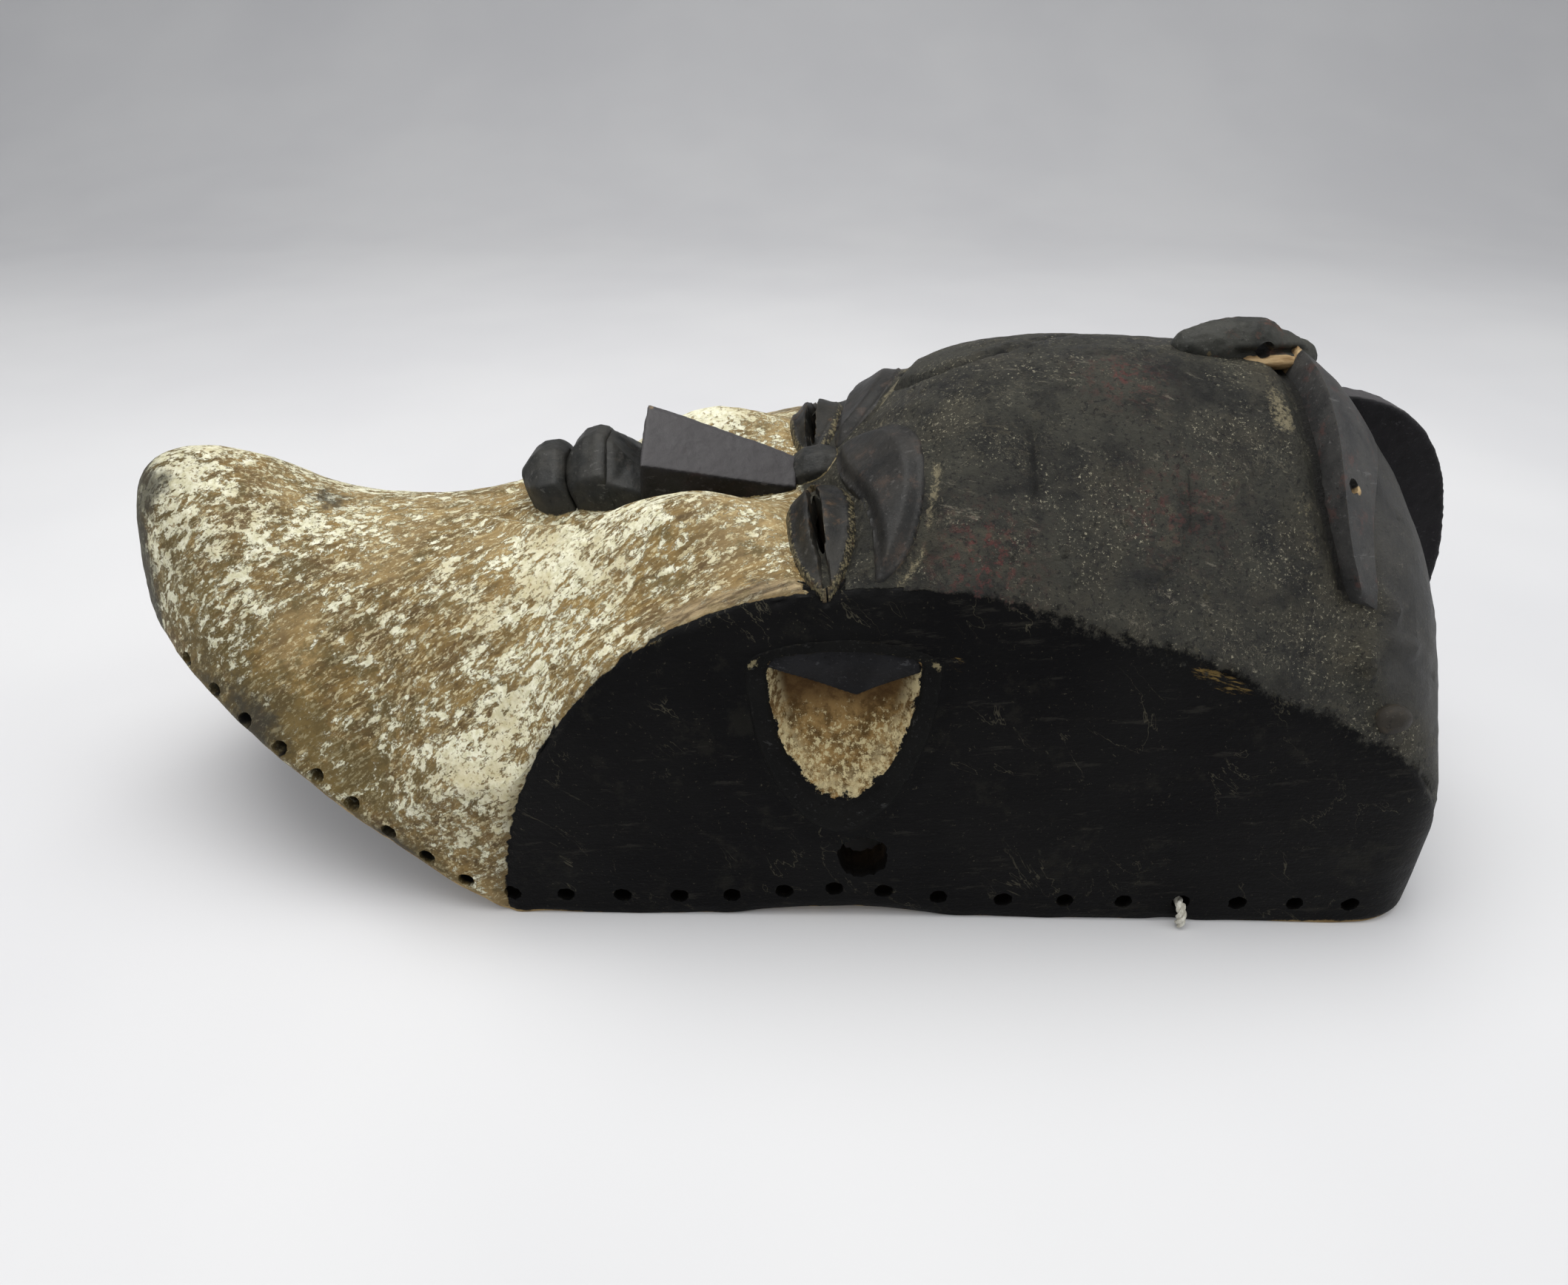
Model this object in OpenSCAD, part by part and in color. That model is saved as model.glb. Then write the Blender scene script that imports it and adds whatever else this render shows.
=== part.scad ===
// Carved wooden face mask, lying face up on its lacing rim.
// +X runs from the chin to the crown, -Y is the wearer's left and +Z points out of the face.
// The origin is on the resting plane, under the middle of the mask.

/* [Body] */
// Half the width of the hollow body
half_width = 78; // [74:1:84]
// Distance from the middle to the tip of the chin
chin_reach = 207; // [198:1:214]
// Distance from the middle to the end of the crown
crown_reach = 192; // [186:1:198]
// Thickness of the carved wall
wall = 10; // [7:0.5:11]
// Height of the rim under the chin tip
chin_lift = 66; // [56:1:72]
// Height of the flat side panel's arch
panel_height = 104; // [98:1:108]

/* [Lacing] */
// Diameter of the lacing holes
lace_d = 5.2; // [4:0.1:6.5]
// Distance between lacing holes on the flat rim
lace_pitch = 16; // [15:0.5:17]
// Height of the lacing holes above the rim
lace_height = 7.5; // [6:0.5:9]
// Lacing holes on the flat rim of each side
lace_count = 16; // [12:1:16]
// Lacing holes on the rising rim of each side of the chin
chin_lace_count = 9; // [6:1:10]
// Diameter of the cord that is left in one hole
cord_d = 3; // [2:0.1:3.5]

/* [Face] */
// Width of the nose across its lower end
nose_w = 42; // [36:1:46]
// Height of the nose ridge at its lower end
nose_top = 126; // [120:1:130]
// Distance from the middle of the face to the middle of each eye
eye_y = 42; // [39:1:44]
// Length of each eye slit
slit_l = 33; // [26:1:36]
// Width of each eye slit
slit_w = 5; // [4:0.5:8]
// How far the eyelids stand out
lid_rise = 4; // [2:0.5:6]
// How far the brow pads stand out
brow_rise = 3; // [2:0.5:5]

/* [Crown] */
// Width of the head band along the mask
band_w = 13; // [9:0.5:14]
// How far the head band is raised
band_rise = 6; // [4:0.5:8]
// Diameter of the hole pierced through the topknot
topknot_hole_d = 4.4; // [3:0.1:5]
// Thickness of the crest fin
crest_t = 12; // [8:0.5:14]

/* [Sides] */
// Diameter of the hole through each side panel
side_hole_d = 14; // [10:0.5:17]
// Depth of the ear hollows
ear_depth = 5; // [3:0.5:6]
// How far the ear rings are raised
ear_rise = 2.2; // [1:0.2:3]

/* [Hidden] */
$fn = 48;

jaw_x = -84;        // where the flat rim turns up under the chin
crown_x = 150;      // where the plan begins to close round the crown
arch_x = 28;        // the highest point of the side panel's arch
eye_x = 5;          // the line through both eye slits
band_x = 134.5;     // the chin side of the head band
middle_x = 4.5;     // the middle of the whole mask, moved over the origin
dome = 2.3;         // exponent of the face's cross-section
jaw_side = 46;      // height of the upright side next to the jaw
tip_w = 1.5;        // least half width, at the two ends
cream = [0.80, 0.74, 0.60];
black = [0.12, 0.12, 0.13];
grey = [0.27, 0.27, 0.28];
dark = [0.20, 0.20, 0.21];

// Midline of the face from chin to crown, before the two ends are rounded
MIDLINE = [[-207, 112], [-190, 112], [-178, 111], [-166, 106.5], [-157, 101], [-146, 96.5],
           [-130, 93.5], [-112, 93], [-94, 95.5], [-80, 98], [-60, 100], [-30, 102], [-5, 103.5],
           [5, 107], [12, 113.5], [22, 123.5], [34, 134.5], [48, 141], [66, 144],
           [90, 144.5], [110, 143.5], [192, 143.5]];

// Smooth curve through points given in order of x
function step_at(p, x, i = 0) = i >= len(p) - 2 || x <= p[i + 1].x ? i : step_at(p, x, i + 1);
function slope_at(p, i) =
    let (a = max(0, i - 1), b = min(len(p) - 1, i + 1)) (p[b].y - p[a].y) / (p[b].x - p[a].x);
function curve(p, x) =
    let (i = step_at(p, x), h = p[i + 1].x - p[i].x, t = min(1, max(0, (x - p[i].x) / h)))
    p[i].y * (1 + 2 * t) * pow(1 - t, 2) + p[i + 1].y * t * t * (3 - 2 * t)
    + h * slope_at(p, i) * t * pow(1 - t, 2) - h * slope_at(p, i + 1) * t * t * (1 - t);

// Rim height: flat, with a shallow worn arch, and rising under the chin
function chin_part(x, inset = 0) = min(1, max(0, (jaw_x - x) / (chin_reach + jaw_x - inset)));
function rim_z(x) = chin_lift * (1 - pow(1 - chin_part(x), 1.2))
    + (abs(x - 12) < 40 ? 3.5 * pow(cos(90 * (x - 12) / 40), 2) : 0);

// Half width in plan, narrowing to the chin and closing round the crown
function crown_part(x, inset = 0) = min(1, max(0, (x - crown_x) / (crown_reach - crown_x - inset)));
function plan(x, inset = 0) = max(tip_w, (half_width - inset)
    * pow(1 - pow(chin_part(x, 1.4 * inset), 1.6), 1 / 1.7)
    * sqrt(1 - pow(crown_part(x, inset), 4)));

// Height of the midline with both ends rounded
function crown_round(x) = sqrt(1 - pow(min(1, max(0, (x - 100) / (crown_reach - 100))), 3.2));
function chin_round(x) = sqrt(1 - pow(min(1, max(0, (-165 - x) / (chin_reach - 165))), 7));
function top_z(x) = max(rim_z(x) + 8,
    rim_z(x) + (curve(MIDLINE, x) - rim_z(x)) * chin_round(x) * crown_round(x));

// Height of the corner between the face and the flat side panel
function panel_z(x) = panel_height * (x < arch_x
    ? pow(max(0, 1 - pow((arch_x - x) / (arch_x - jaw_x), 2.6)), 1 / 1.9)
    : (1 - 0.52 * pow((x - arch_x) / 147, 1.5)) * (1 - pow(crown_part(x), 3)));
// Beside the jaw the side stands upright up to this height, and the panel's border runs over it
function ease(t) = t * t * (3 - 2 * t);
function soft_max(a, b) = pow(pow(a, 8) + pow(b, 8), 1 / 8);
function jaw_side_z(x) = x > 0 ? 0 : jaw_side * ease(max(0, 1 - chin_part(x) / 0.65));
function corner_z(x) = min(
    soft_max(soft_max(x < jaw_x ? 0 : panel_z(x), jaw_side_z(x)), rim_z(x) + 4),
    rim_z(x) + 1.1 * (top_z(x) - rim_z(x)));
function lean(z) = 1 - 0.1 * pow(z / 105, 2);

// The cheeks swell on both sides of the nose
function cheek(x, y) = 13 * exp(-pow((x + 30) / 29, 2)) * exp(-pow((abs(y) - 37) / 15, 2));

// Height of the face at a place on it
function skin_z(x, y) = let (s = abs(y) / (plan(x) * lean(corner_z(x))))
    top_z(x) - (top_z(x) - corner_z(x)) * pow(s, dome) + cheek(x, y) * (1 - pow(s, 6));

// One half section: points from the midline to the rim
top_steps = 9;
side_steps = 3;
function half_section(x, top, corner, rim, width, swell) = concat(
    [for (j = [0 : top_steps]) let (s = j / top_steps, y = width * lean(corner) * s)
        [y, top - (top - corner) * pow(s, dome) + swell * cheek(x, y) * (1 - pow(s, 6))]],
    [for (j = [1 : side_steps]) let (z = corner + (rim - corner) * j / side_steps)
        [width * lean(z), z]]);

// A ring from the left rim over the face to the right rim
function ring(x, half) = concat(
    [for (j = [len(half) - 1 : -1 : 1]) [x, -half[j].x, half[j].y]],
    [for (p = half) [x, p.x, p.y]]);
function outer_ring(x) =
    ring(x, half_section(x, top_z(x), corner_z(x), rim_z(x), plan(x), 1));
function inner_x(x) = x < 0 ? x * (chin_reach - 1.4 * wall) / chin_reach
    : x * (crown_reach - wall) / crown_reach;
function inner_ring(x) =
    let (xi = inner_x(x), rim = rim_z(xi), top = max(rim + 6, top_z(x) - wall))
    ring(xi, half_section(xi, top,
        min(max(corner_z(x) - wall / 2, rim + 3), rim + 1.1 * (top - rim)),
        rim, plan(xi, wall), 0));

// Stations along the mask, closer together at the two rounded ends
chin_turn = -148;
crown_turn = 148;
STATIONS = concat(
    [for (i = [0 : 9]) -chin_reach + (chin_reach + chin_turn) * (1 - cos(9 * i))],
    [for (x = [chin_turn : 8 : crown_turn]) x],
    [for (i = [1 : 9]) crown_turn + (crown_reach - crown_turn) * sin(10 * i)]);

// Two triangles for each cell between rings a and b of n points; open leaves out the last cell
function cells(rings, n, first = 0, flip = false, open = false) = [
    for (i = [0 : rings - 2], j = [0 : n - (open ? 2 : 1)], k = [0, 1])
        let (a = first + i * n + j, b = first + i * n + (j + 1) % n, c = b + n, d = a + n,
             t = k == 0 ? [a, b, c] : [a, c, d])
        flip ? [t[2], t[1], t[0]] : t];
function flatten(lists) = [for (l = lists) each l];

// Solid through closed rings of points that run anticlockwise when seen from -X
module loft(rings) {
    n = len(rings[0]);
    m = len(rings);
    polyhedron(points = flatten(rings), convexity = 6, faces = concat(
        cells(m, n),
        [[for (j = [n - 1 : -1 : 0]) j]],
        [[for (j = [0 : n - 1]) (m - 1) * n + j]]));
}

// The whole outside of the body as one solid block
module outer_body() loft([for (x = STATIONS) outer_ring(x)]);

// The hollow body: outside, inside and the rim between them
module hollow_body() {
    outside = [for (x = STATIONS) outer_ring(x)];
    inside = [for (x = STATIONS) inner_ring(x)];
    m = len(STATIONS);
    n = len(outside[0]);
    second = m * n;
    function end_cap(i, flip) = [for (j = [0 : (n - 1) / 2 - 1], k = [0, 1])
        let (a = i + j, b = i + j + 1, c = i + n - 2 - j, d = i + n - 1 - j,
             t = k == 0 ? [a, d, c] : [a, c, b])
        if (!(k == 1 && b == c)) flip ? [t[2], t[1], t[0]] : t];
    function rim_strip(j, flip) = [for (i = [0 : m - 2], k = [0, 1])
        let (a = i * n + j, b = a + n, c = b + second, d = a + second,
             t = k == 0 ? [a, b, c] : [a, c, d])
        flip ? [t[2], t[1], t[0]] : t];
    last = (m - 1) * n;
    polyhedron(points = concat(flatten(outside), flatten(inside)), convexity = 8, faces = concat(
        cells(m, n, 0, false, true),
        cells(m, n, second, true, true),
        end_cap(0, false),
        end_cap(second, true),
        end_cap(last, true),
        end_cap(second + last, false),
        rim_strip(0, false),
        rim_strip(n - 1, true),
        [[0, second, second + n - 1], [0, second + n - 1, n - 1]],
        [[last + second, last, last + n - 1], [last + second, last + n - 1, last + second + n - 1]]));
}

// What children() cuts out of a skin of that height on the body
module raised(height) {
    difference() {
        intersection() {
            children();
            translate([0, 0, height]) outer_body();
        }
        outer_body();
    }
}

// A pointed leaf, long along Y
module leaf(long, wide) {
    r = (pow(long / 2, 2) + pow(wide / 2, 2)) / wide;
    intersection() {
        translate([r - wide / 2, 0]) circle(r, $fn = 96);
        translate([wide / 2 - r, 0]) circle(r, $fn = 96);
    }
}

module on_right() mirror([0, 1, 0]) children();
module placed() translate([middle_x, 0, 0]) children();

// Lacing holes
function lace_x(k) = -82 + lace_pitch * k
    - (k > 4 && k < 11 ? 5 * pow(sin(180 * (k - 4) / 7), 2) : 0);
function chin_lace_x(k) = -95 - 87 * k / (chin_lace_count - 1);
chin_lace_height = 5.3;
function plan_turn(x) = atan((plan(x - 1) - plan(x + 1)) / -2);
module lacing_holes() {
    for (k = [0 : lace_count - 1])
        translate([lace_x(k), -half_width - 5, rim_z(lace_x(k)) + lace_height])
            rotate([-90, 0, 0]) cylinder(h = wall + 10, d = lace_d);
    for (k = [0 : chin_lace_count - 1])
        translate([chin_lace_x(k), -plan(chin_lace_x(k)),
                   rim_z(chin_lace_x(k)) + chin_lace_height])
            rotate([0, 0, -plan_turn(chin_lace_x(k))])
                rotate([90, 0, 0]) cylinder(h = 2 * wall + 12, d = lace_d, center = true);
}

// Eyes
slit_turn = 5;
lid_l = 52;
lid_w = 17;
module eye_place() translate([eye_x, -eye_y - 2, 60]) children();
module eye_slit() eye_place() translate([0, 6.5, 0]) rotate([0, 0, slit_turn])
    linear_extrude(80) leaf(slit_l, slit_w);
module eyelids() raised(lid_rise) eye_place() linear_extrude(80) leaf(lid_l, lid_w);
module eyelid(upper) {
    placed() color(dark) difference() {
        eyelids();
        eye_slit();
        translate([upper ? eye_x - 40 : eye_x, -100, 50]) cube([40, 100, 90]);
        nose_bridge_block();
    }
}

// Brow pads
brow_x = 20.5;
brow_y = 35;
brow_l = 63;
module brow_pad() {
    placed() color(dark) raised(brow_rise) translate([0, 0, 60]) linear_extrude(90) difference() {
        translate([brow_x, -brow_y]) leaf(brow_l, 26);
        translate([-4, -40]) circle(24, $fn = 96);
    }
}

// Ears, in a frame that lies in the side panel
ear_x = 11.5;
ear_z = 84;
module ear_frame() translate([ear_x, -half_width * lean(ear_z), ear_z]) rotate([85, 0, 0]) children();
module ear_outline(wide, drop, rise)
    polygon([for (a = [0 : 9 : 351]) [wide * cos(a), (a < 180 ? rise : drop) * sin(a)]]);
module ear_hollow() ear_frame() translate([0, 0, -ear_depth])
    linear_extrude(ear_depth + 12) ear_outline(20.5, 42, 4);
module ear_ring() {
    placed() color(grey) difference() {
        ear_frame() translate([0, 0, -4]) linear_extrude(4 + ear_rise) difference() {
            ear_outline(24, 50, 6.5);
            ear_outline(20.5, 42, 4);
        }
        outer_body();
    }
}
flap_tip = -10;
module ear_flap() {
    placed() color(dark) ear_frame() translate([0, 0, -ear_depth]) linear_extrude(ear_depth + 1)
        intersection() {
            ear_outline(20.5, 42, 4);
            polygon([[-19.5, -1], [-16, 6], [17, 6], [19.5, -2], [3.5, flap_tip]]);
        }
}

// Side hole, above the lacing
side_hole_x = 18.5;
side_hole_z = 23;
module side_hole() translate([side_hole_x, -half_width - 5, side_hole_z]) rotate([-90, 0, 0])
    cylinder(h = wall + 12, d = side_hole_d);

// Peg hole in the head band, square to the sloping temple
band_hole_d = 4;
band_hole_x = 140;
band_hole_y = -45;
module band_hole()
    translate([band_hole_x, band_hole_y, skin_z(band_hole_x, band_hole_y) + band_rise])
    rotate([48, 0, 0]) rotate([0, 17, 0])
    cylinder(h = 16, d = band_hole_d, center = true);

module mask_shell() {
    placed() color(cream) difference() {
        hollow_body();
        for (side = [0, 1]) mirror([0, side, 0]) {
            lacing_holes();
            eye_slit();
            ear_hollow();
            side_hole();
        }
        band_hole();
    }
}

// A gabled cross-section at x with a flat top and chamfered shoulders, down to the base
function gable(x, top, shoulder, half, flat, base = 94) =
    [[x, -half, base], [x, -half, shoulder], [x, -flat, top],
     [x, flat, top], [x, half, shoulder], [x, half, base]];

lip_x = [-83, -69.5, -59, -44.5];   // ends of the lower lip, upper lip and philtrum
bridge_x = -1.5;                    // end of the nose at the bridge
module lower_lip() {
    placed() color(dark) difference() {
        loft([gable(lip_x[0], 107, 102, 9, 6), gable(-77, 113, 106, 13.5, 5),
              gable(-72, 113.5, 107, 14, 5), gable(lip_x[1], 109, 104, 13, 5)]);
        outer_body();
    }
}
module upper_lip() {
    placed() color(dark) difference() {
        loft([gable(lip_x[1], 109, 104, 13, 5), gable(-64.5, 116.5, 109, 15.5, 5),
              gable(lip_x[2], 118.5, 110, 16.5, 5)]);
        outer_body();
    }
}
module philtrum() {
    placed() color(grey) difference() {
        loft([gable(lip_x[2], 118, 109, 16, 5), gable(-55, 116, 108, 16.5, 5),
              gable(-49, 110, 106, 16.5, 6), gable(lip_x[3], 106.5, 104, 16, 8)]);
        outer_body();
    }
}
module nose() {
    placed() color(grey) difference() {
        loft([gable(lip_x[3], nose_top, nose_top - 10, nose_w / 2, 1),
              gable(bridge_x, nose_top - 15, nose_top - 20.5, 10, 1)]);
        outer_body();
    }
}
module nose_bridge_block() loft([gable(bridge_x, 109.5, 106, 6, 4), gable(1, 112, 108, 7, 4),
    gable(6, 113, 109, 7.5, 4), gable(9.5, 110, 108, 6, 4)]);
module nose_bridge() {
    placed() color(dark) difference() {
        nose_bridge_block();
        outer_body();
    }
}

module left_lower_eyelid() eyelid(false);
module left_upper_eyelid() eyelid(true);
module right_lower_eyelid() on_right() eyelid(false);
module right_upper_eyelid() on_right() eyelid(true);
module left_brow_pad() brow_pad();
module right_brow_pad() on_right() brow_pad();
module left_ear_ring() ear_ring();
module right_ear_ring() on_right() ear_ring();
module left_ear_flap() ear_flap();
module right_ear_flap() on_right() ear_flap();

// Head band, from temple to temple over the crown
band_reach = 56;
module band_slab() translate([band_x, -band_reach, 60]) cube([band_w, 2 * band_reach, 110]);
module head_band() {
    placed() color(grey) difference() {
        raised(band_rise) band_slab();
        band_hole();
    }
}

// Topknot on the midline, pierced from side to side
knot_hole_x = 126.5;
knot_hole_z = 145.2;
module topknot() {
    placed() color(grey) difference() {
        hull() {
            translate([111, 0, 144]) sphere(7, $fn = 32);
            translate([120, 0, 144]) sphere(8, $fn = 32);
            translate([134, 0, 140.5]) sphere(7.5, $fn = 32);
        }
        outer_body();
        band_slab();
        translate([knot_hole_x, 0, knot_hole_z]) rotate([90, 0, 0])
            cylinder(h = 40, d = topknot_hole_d, center = true);
    }
}

// Crest fin, an upright plate along the back of the crown
fin_x = 150;
fin_z = 64;
fin_reach = 47.5;
fin_rise = 68;
fin_shape = 2.3;    // exponent of its outline; 2 would be an ellipse
function fin_round(v) = sign(v) * pow(abs(v), 2 / fin_shape);
module crest_fin() {
    placed() color(black) difference() {
        rotate([90, 0, 0]) linear_extrude(crest_t, center = true) polygon(concat(
            [[band_x + band_w, 100], [band_x + band_w, fin_z + fin_rise]],
            [for (a = [84 : -6 : -36])
                [fin_x + fin_reach * fin_round(cos(a)), fin_z + fin_rise * fin_round(sin(a))]],
            [[180, 20], [165, 56]]));
        outer_body();
    }
}

// Small boss on the left temple
knob_place = [153, -72.5, 69];
knob_r = 4.2;
module left_temple_knob() {
    placed() color(dark) difference() {
        translate(knob_place) sphere(knob_r);
        outer_body();
    }
}

// Stub of white cord in the thirteenth lacing hole, bent down over the rim
stub_x = lace_x(12);
stub_z = lace_height - (lace_d - cord_d) / 2 + 0.1;
stub_bend = 2.2;
stub_y = -half_width;
stub_foot = 0.4;
module lacing_stub() {
    placed() color([0.85, 0.84, 0.78]) translate([stub_x, 0, stub_z]) union() {
        translate([0, stub_y, 0]) rotate([-90, 0, 0]) cylinder(h = wall + 3, d = cord_d);
        translate([0, stub_y, -stub_bend]) rotate([90, 0, -90]) rotate_extrude(angle = 90)
            translate([stub_bend, 0]) circle(d = cord_d);
        translate([0, stub_y - stub_bend, stub_foot - stub_z])
            cylinder(h = stub_z - stub_bend - stub_foot, d = cord_d);
    }
}

mask_shell();
lower_lip();
upper_lip();
philtrum();
nose();
nose_bridge();
left_lower_eyelid();
left_upper_eyelid();
right_lower_eyelid();
right_upper_eyelid();
left_brow_pad();
right_brow_pad();
left_ear_ring();
right_ear_ring();
left_ear_flap();
right_ear_flap();
head_band();
topknot();
crest_fin();
left_temple_knob();
lacing_stub();
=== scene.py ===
import math
import bmesh
import bpy
import numpy as np
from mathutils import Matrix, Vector
from mathutils.kdtree import KDTree


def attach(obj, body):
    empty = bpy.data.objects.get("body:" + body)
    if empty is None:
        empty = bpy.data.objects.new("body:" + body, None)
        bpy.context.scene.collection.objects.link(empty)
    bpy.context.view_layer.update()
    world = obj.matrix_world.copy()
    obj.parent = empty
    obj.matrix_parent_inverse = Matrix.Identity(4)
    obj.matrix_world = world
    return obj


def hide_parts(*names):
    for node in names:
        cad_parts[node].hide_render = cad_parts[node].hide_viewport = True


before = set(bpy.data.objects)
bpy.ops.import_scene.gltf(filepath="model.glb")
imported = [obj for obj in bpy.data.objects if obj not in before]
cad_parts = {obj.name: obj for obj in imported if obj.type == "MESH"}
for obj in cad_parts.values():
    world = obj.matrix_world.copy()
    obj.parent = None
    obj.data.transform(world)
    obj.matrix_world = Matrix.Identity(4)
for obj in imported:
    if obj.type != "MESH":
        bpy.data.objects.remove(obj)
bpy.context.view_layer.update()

MM = 0.001
MIDDLE = 4.5                      # the carving's x is measured 4.5 mm off the middle of the mask's box
scene = bpy.context.scene

# ---------------------------------------------------------------- the carving's own formulas, in mm
HALF, CHIN, CROWN, WALL, LIFT, PANEL = 78.0, 207.0, 192.0, 10.0, 66.0, 104.0
JAW, CROWN_X, ARCH, DOME, TIP = -84.0, 150.0, 28.0, 2.3, 1.5
# the midline's height at places from the chin (negative) to the crown
MIDLINE = np.array([(-207, 112), (-190, 112), (-178, 111), (-166, 106.5), (-157, 101), (-146, 96.5),
                    (-130, 93.5), (-112, 93), (-94, 95.5), (-80, 98), (-60, 100), (-30, 102), (-5, 103.5),
                    (5, 107), (12, 113.5), (22, 123.5), (34, 134.5), (48, 141), (66, 144),
                    (90, 144.5), (110, 143.5), (192, 143.5)], float)


def curve(x):
    """Height of the midline at x: a smooth curve through its points."""
    px, pz = MIDLINE[:, 0], MIDLINE[:, 1]
    n = len(px)
    lo, hi = np.maximum(np.arange(n) - 1, 0), np.minimum(np.arange(n) + 1, n - 1)
    m = (pz[hi] - pz[lo]) / (px[hi] - px[lo])
    i = np.clip(np.searchsorted(px, x, side="left") - 1, 0, n - 2)
    h = px[i + 1] - px[i]
    t = np.clip((x - px[i]) / h, 0, 1)
    return (pz[i] * (1 + 2 * t) * (1 - t) ** 2 + pz[i + 1] * t * t * (3 - 2 * t)
            + h * m[i] * t * (1 - t) ** 2 - h * m[i + 1] * t * t * (1 - t))


def chin_part(x, inset=0.0):
    """0 at the jaw, 1 at the chin's tip."""
    return np.clip((JAW - x) / (CHIN + JAW - inset), 0, 1)


def crown_part(x, inset=0.0):
    """0 where the crown starts to round, 1 at its end."""
    return np.clip((x - CROWN_X) / (CROWN - CROWN_X - inset), 0, 1)


def rim_z(x):
    arch = np.where(np.abs(x - 12) < 40, 3.5 * np.cos(np.radians(90 * (x - 12) / 40)) ** 2, 0)
    return LIFT * (1 - (1 - chin_part(x)) ** 1.2) + arch


def plan(x, inset=0.0):
    """Half width of the body, seen from above."""
    return np.maximum(TIP, (HALF - inset) * (1 - chin_part(x, 1.4 * inset) ** 1.6) ** (1 / 1.7)
                      * np.sqrt(np.maximum(0, 1 - crown_part(x, inset) ** 4)))


def top_z(x):
    r = rim_z(x)
    chin = np.sqrt(np.maximum(0, 1 - np.clip((-165 - x) / (CHIN - 165), 0, 1) ** 7))
    crown = np.sqrt(np.maximum(0, 1 - np.clip((x - 100) / (CROWN - 100), 0, 1) ** 3.2))
    return np.maximum(r + 8, r + (curve(x) - r) * chin * crown)


def panel_z(x):
    """Upper edge of the black side panel."""
    left = np.maximum(0, 1 - np.clip((ARCH - x) / (ARCH - JAW), 0, 1) ** 2.6) ** (1 / 1.9)
    right = (1 - 0.52 * (np.maximum(x - ARCH, 0) / 147) ** 1.5) * (1 - crown_part(x) ** 3)
    return np.where(x < JAW, 0, PANEL * np.where(x < ARCH, left, right))


def smooth(t):
    t = np.clip(t, 0, 1)
    return t * t * (3 - 2 * t)


def bell(t, width):
    return np.exp(-(t / width) ** 2)


def soft_max(a, b):
    return (a ** 8 + b ** 8) ** (1 / 8)


def corner_z(x):
    """Height where the domed front turns down into the side."""
    jaw_side = np.where(x > 0, 0, 46 * smooth(1 - chin_part(x) / 0.65))
    r = rim_z(x)
    return np.minimum(soft_max(soft_max(panel_z(x), jaw_side), r + 4), r + 1.1 * (top_z(x) - r))


def lean(z):
    """Share of the half width left at height z, as the sides lean in."""
    return 1 - 0.1 * (z / 105) ** 2


def cheek(x, y):
    return 13 * bell(x + 30, 29) * bell(np.abs(y) - 37, 15)


def face_z(x, y):
    top, corner = top_z(x), corner_z(x)
    s = np.clip(np.abs(y) / (plan(x) * lean(corner)), 0, 1)
    return top - (top - corner) * s ** DOME + cheek(x, y) * (1 - s ** 6)


# ---------------------------------------------------------------- seeded noise, for real relief
def lattice(i, j, k, seed):
    h = (i.astype(np.uint64) * np.uint64(374761393) + j.astype(np.uint64) * np.uint64(668265263)
         + k.astype(np.uint64) * np.uint64(2246822519) + np.uint64(seed * 3266489917)) & np.uint64(0xFFFFFFFF)
    h = ((h ^ (h >> np.uint64(15))) * np.uint64(2246822519)) & np.uint64(0xFFFFFFFF)
    h = ((h ^ (h >> np.uint64(13))) * np.uint64(3266489917)) & np.uint64(0xFFFFFFFF)
    return ((h ^ (h >> np.uint64(16))) & np.uint64(0xFFFFFF)).astype(float) / 0xFFFFFF * 2 - 1


def noise(p, size, seed=1):
    q = np.asarray(p, float) / size + 1000.0
    b = np.floor(q).astype(np.int64)
    f = q - b
    f = f * f * f * (f * (f * 6 - 15) + 10)
    out = 0
    for a in (0, 1):
        for c in (0, 1):
            for d in (0, 1):
                w = ((f[..., 0] if a else 1 - f[..., 0]) * (f[..., 1] if c else 1 - f[..., 1])
                     * (f[..., 2] if d else 1 - f[..., 2]))
                out = out + w * lattice(b[..., 0] + a, b[..., 1] + c, b[..., 2] + d, seed)
    return out


def fbm(p, size, octaves=4, seed=1):
    return sum(noise(p, size / 2 ** k, seed + 17 * k) / 2 ** k for k in range(octaves))


def level(a, b):
    """Points at height zero, for noise that varies in two directions only."""
    return np.stack([a, b, a * 0], -1)


# ---------------------------------------------------------------- outlines on the face, in mm
EYE_X, EYE_Y = 5.0, 41.0            # the middle of an eye
LID_L, LID_W = 56.0, 15.0           # an eyelid pair, across the face and along it
SLIT_Y, SLIT_LEAN = 37.5, 0.06      # the middle of an eye slit, and how much it leans toward the crown
PAD_FROM, PAD_TO = (11.0, -3.0), (19.0, -68.0)
PAD_BOW = 16.0                      # how far a brow pad bows toward the crown


def lid_outline(n=24):
    """A leaf across the face whose middle sits a little above its tips."""
    t = np.linspace(0, 2 * np.pi, 2 * n, endpoint=False)
    across = np.sign(np.sin(t)) * np.abs(np.sin(t)) ** 1.6
    return np.stack([EYE_X + LID_W / 2 * across + 1.5 * np.cos(t), -EYE_Y - LID_L / 2 * np.cos(t)], 1)


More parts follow.
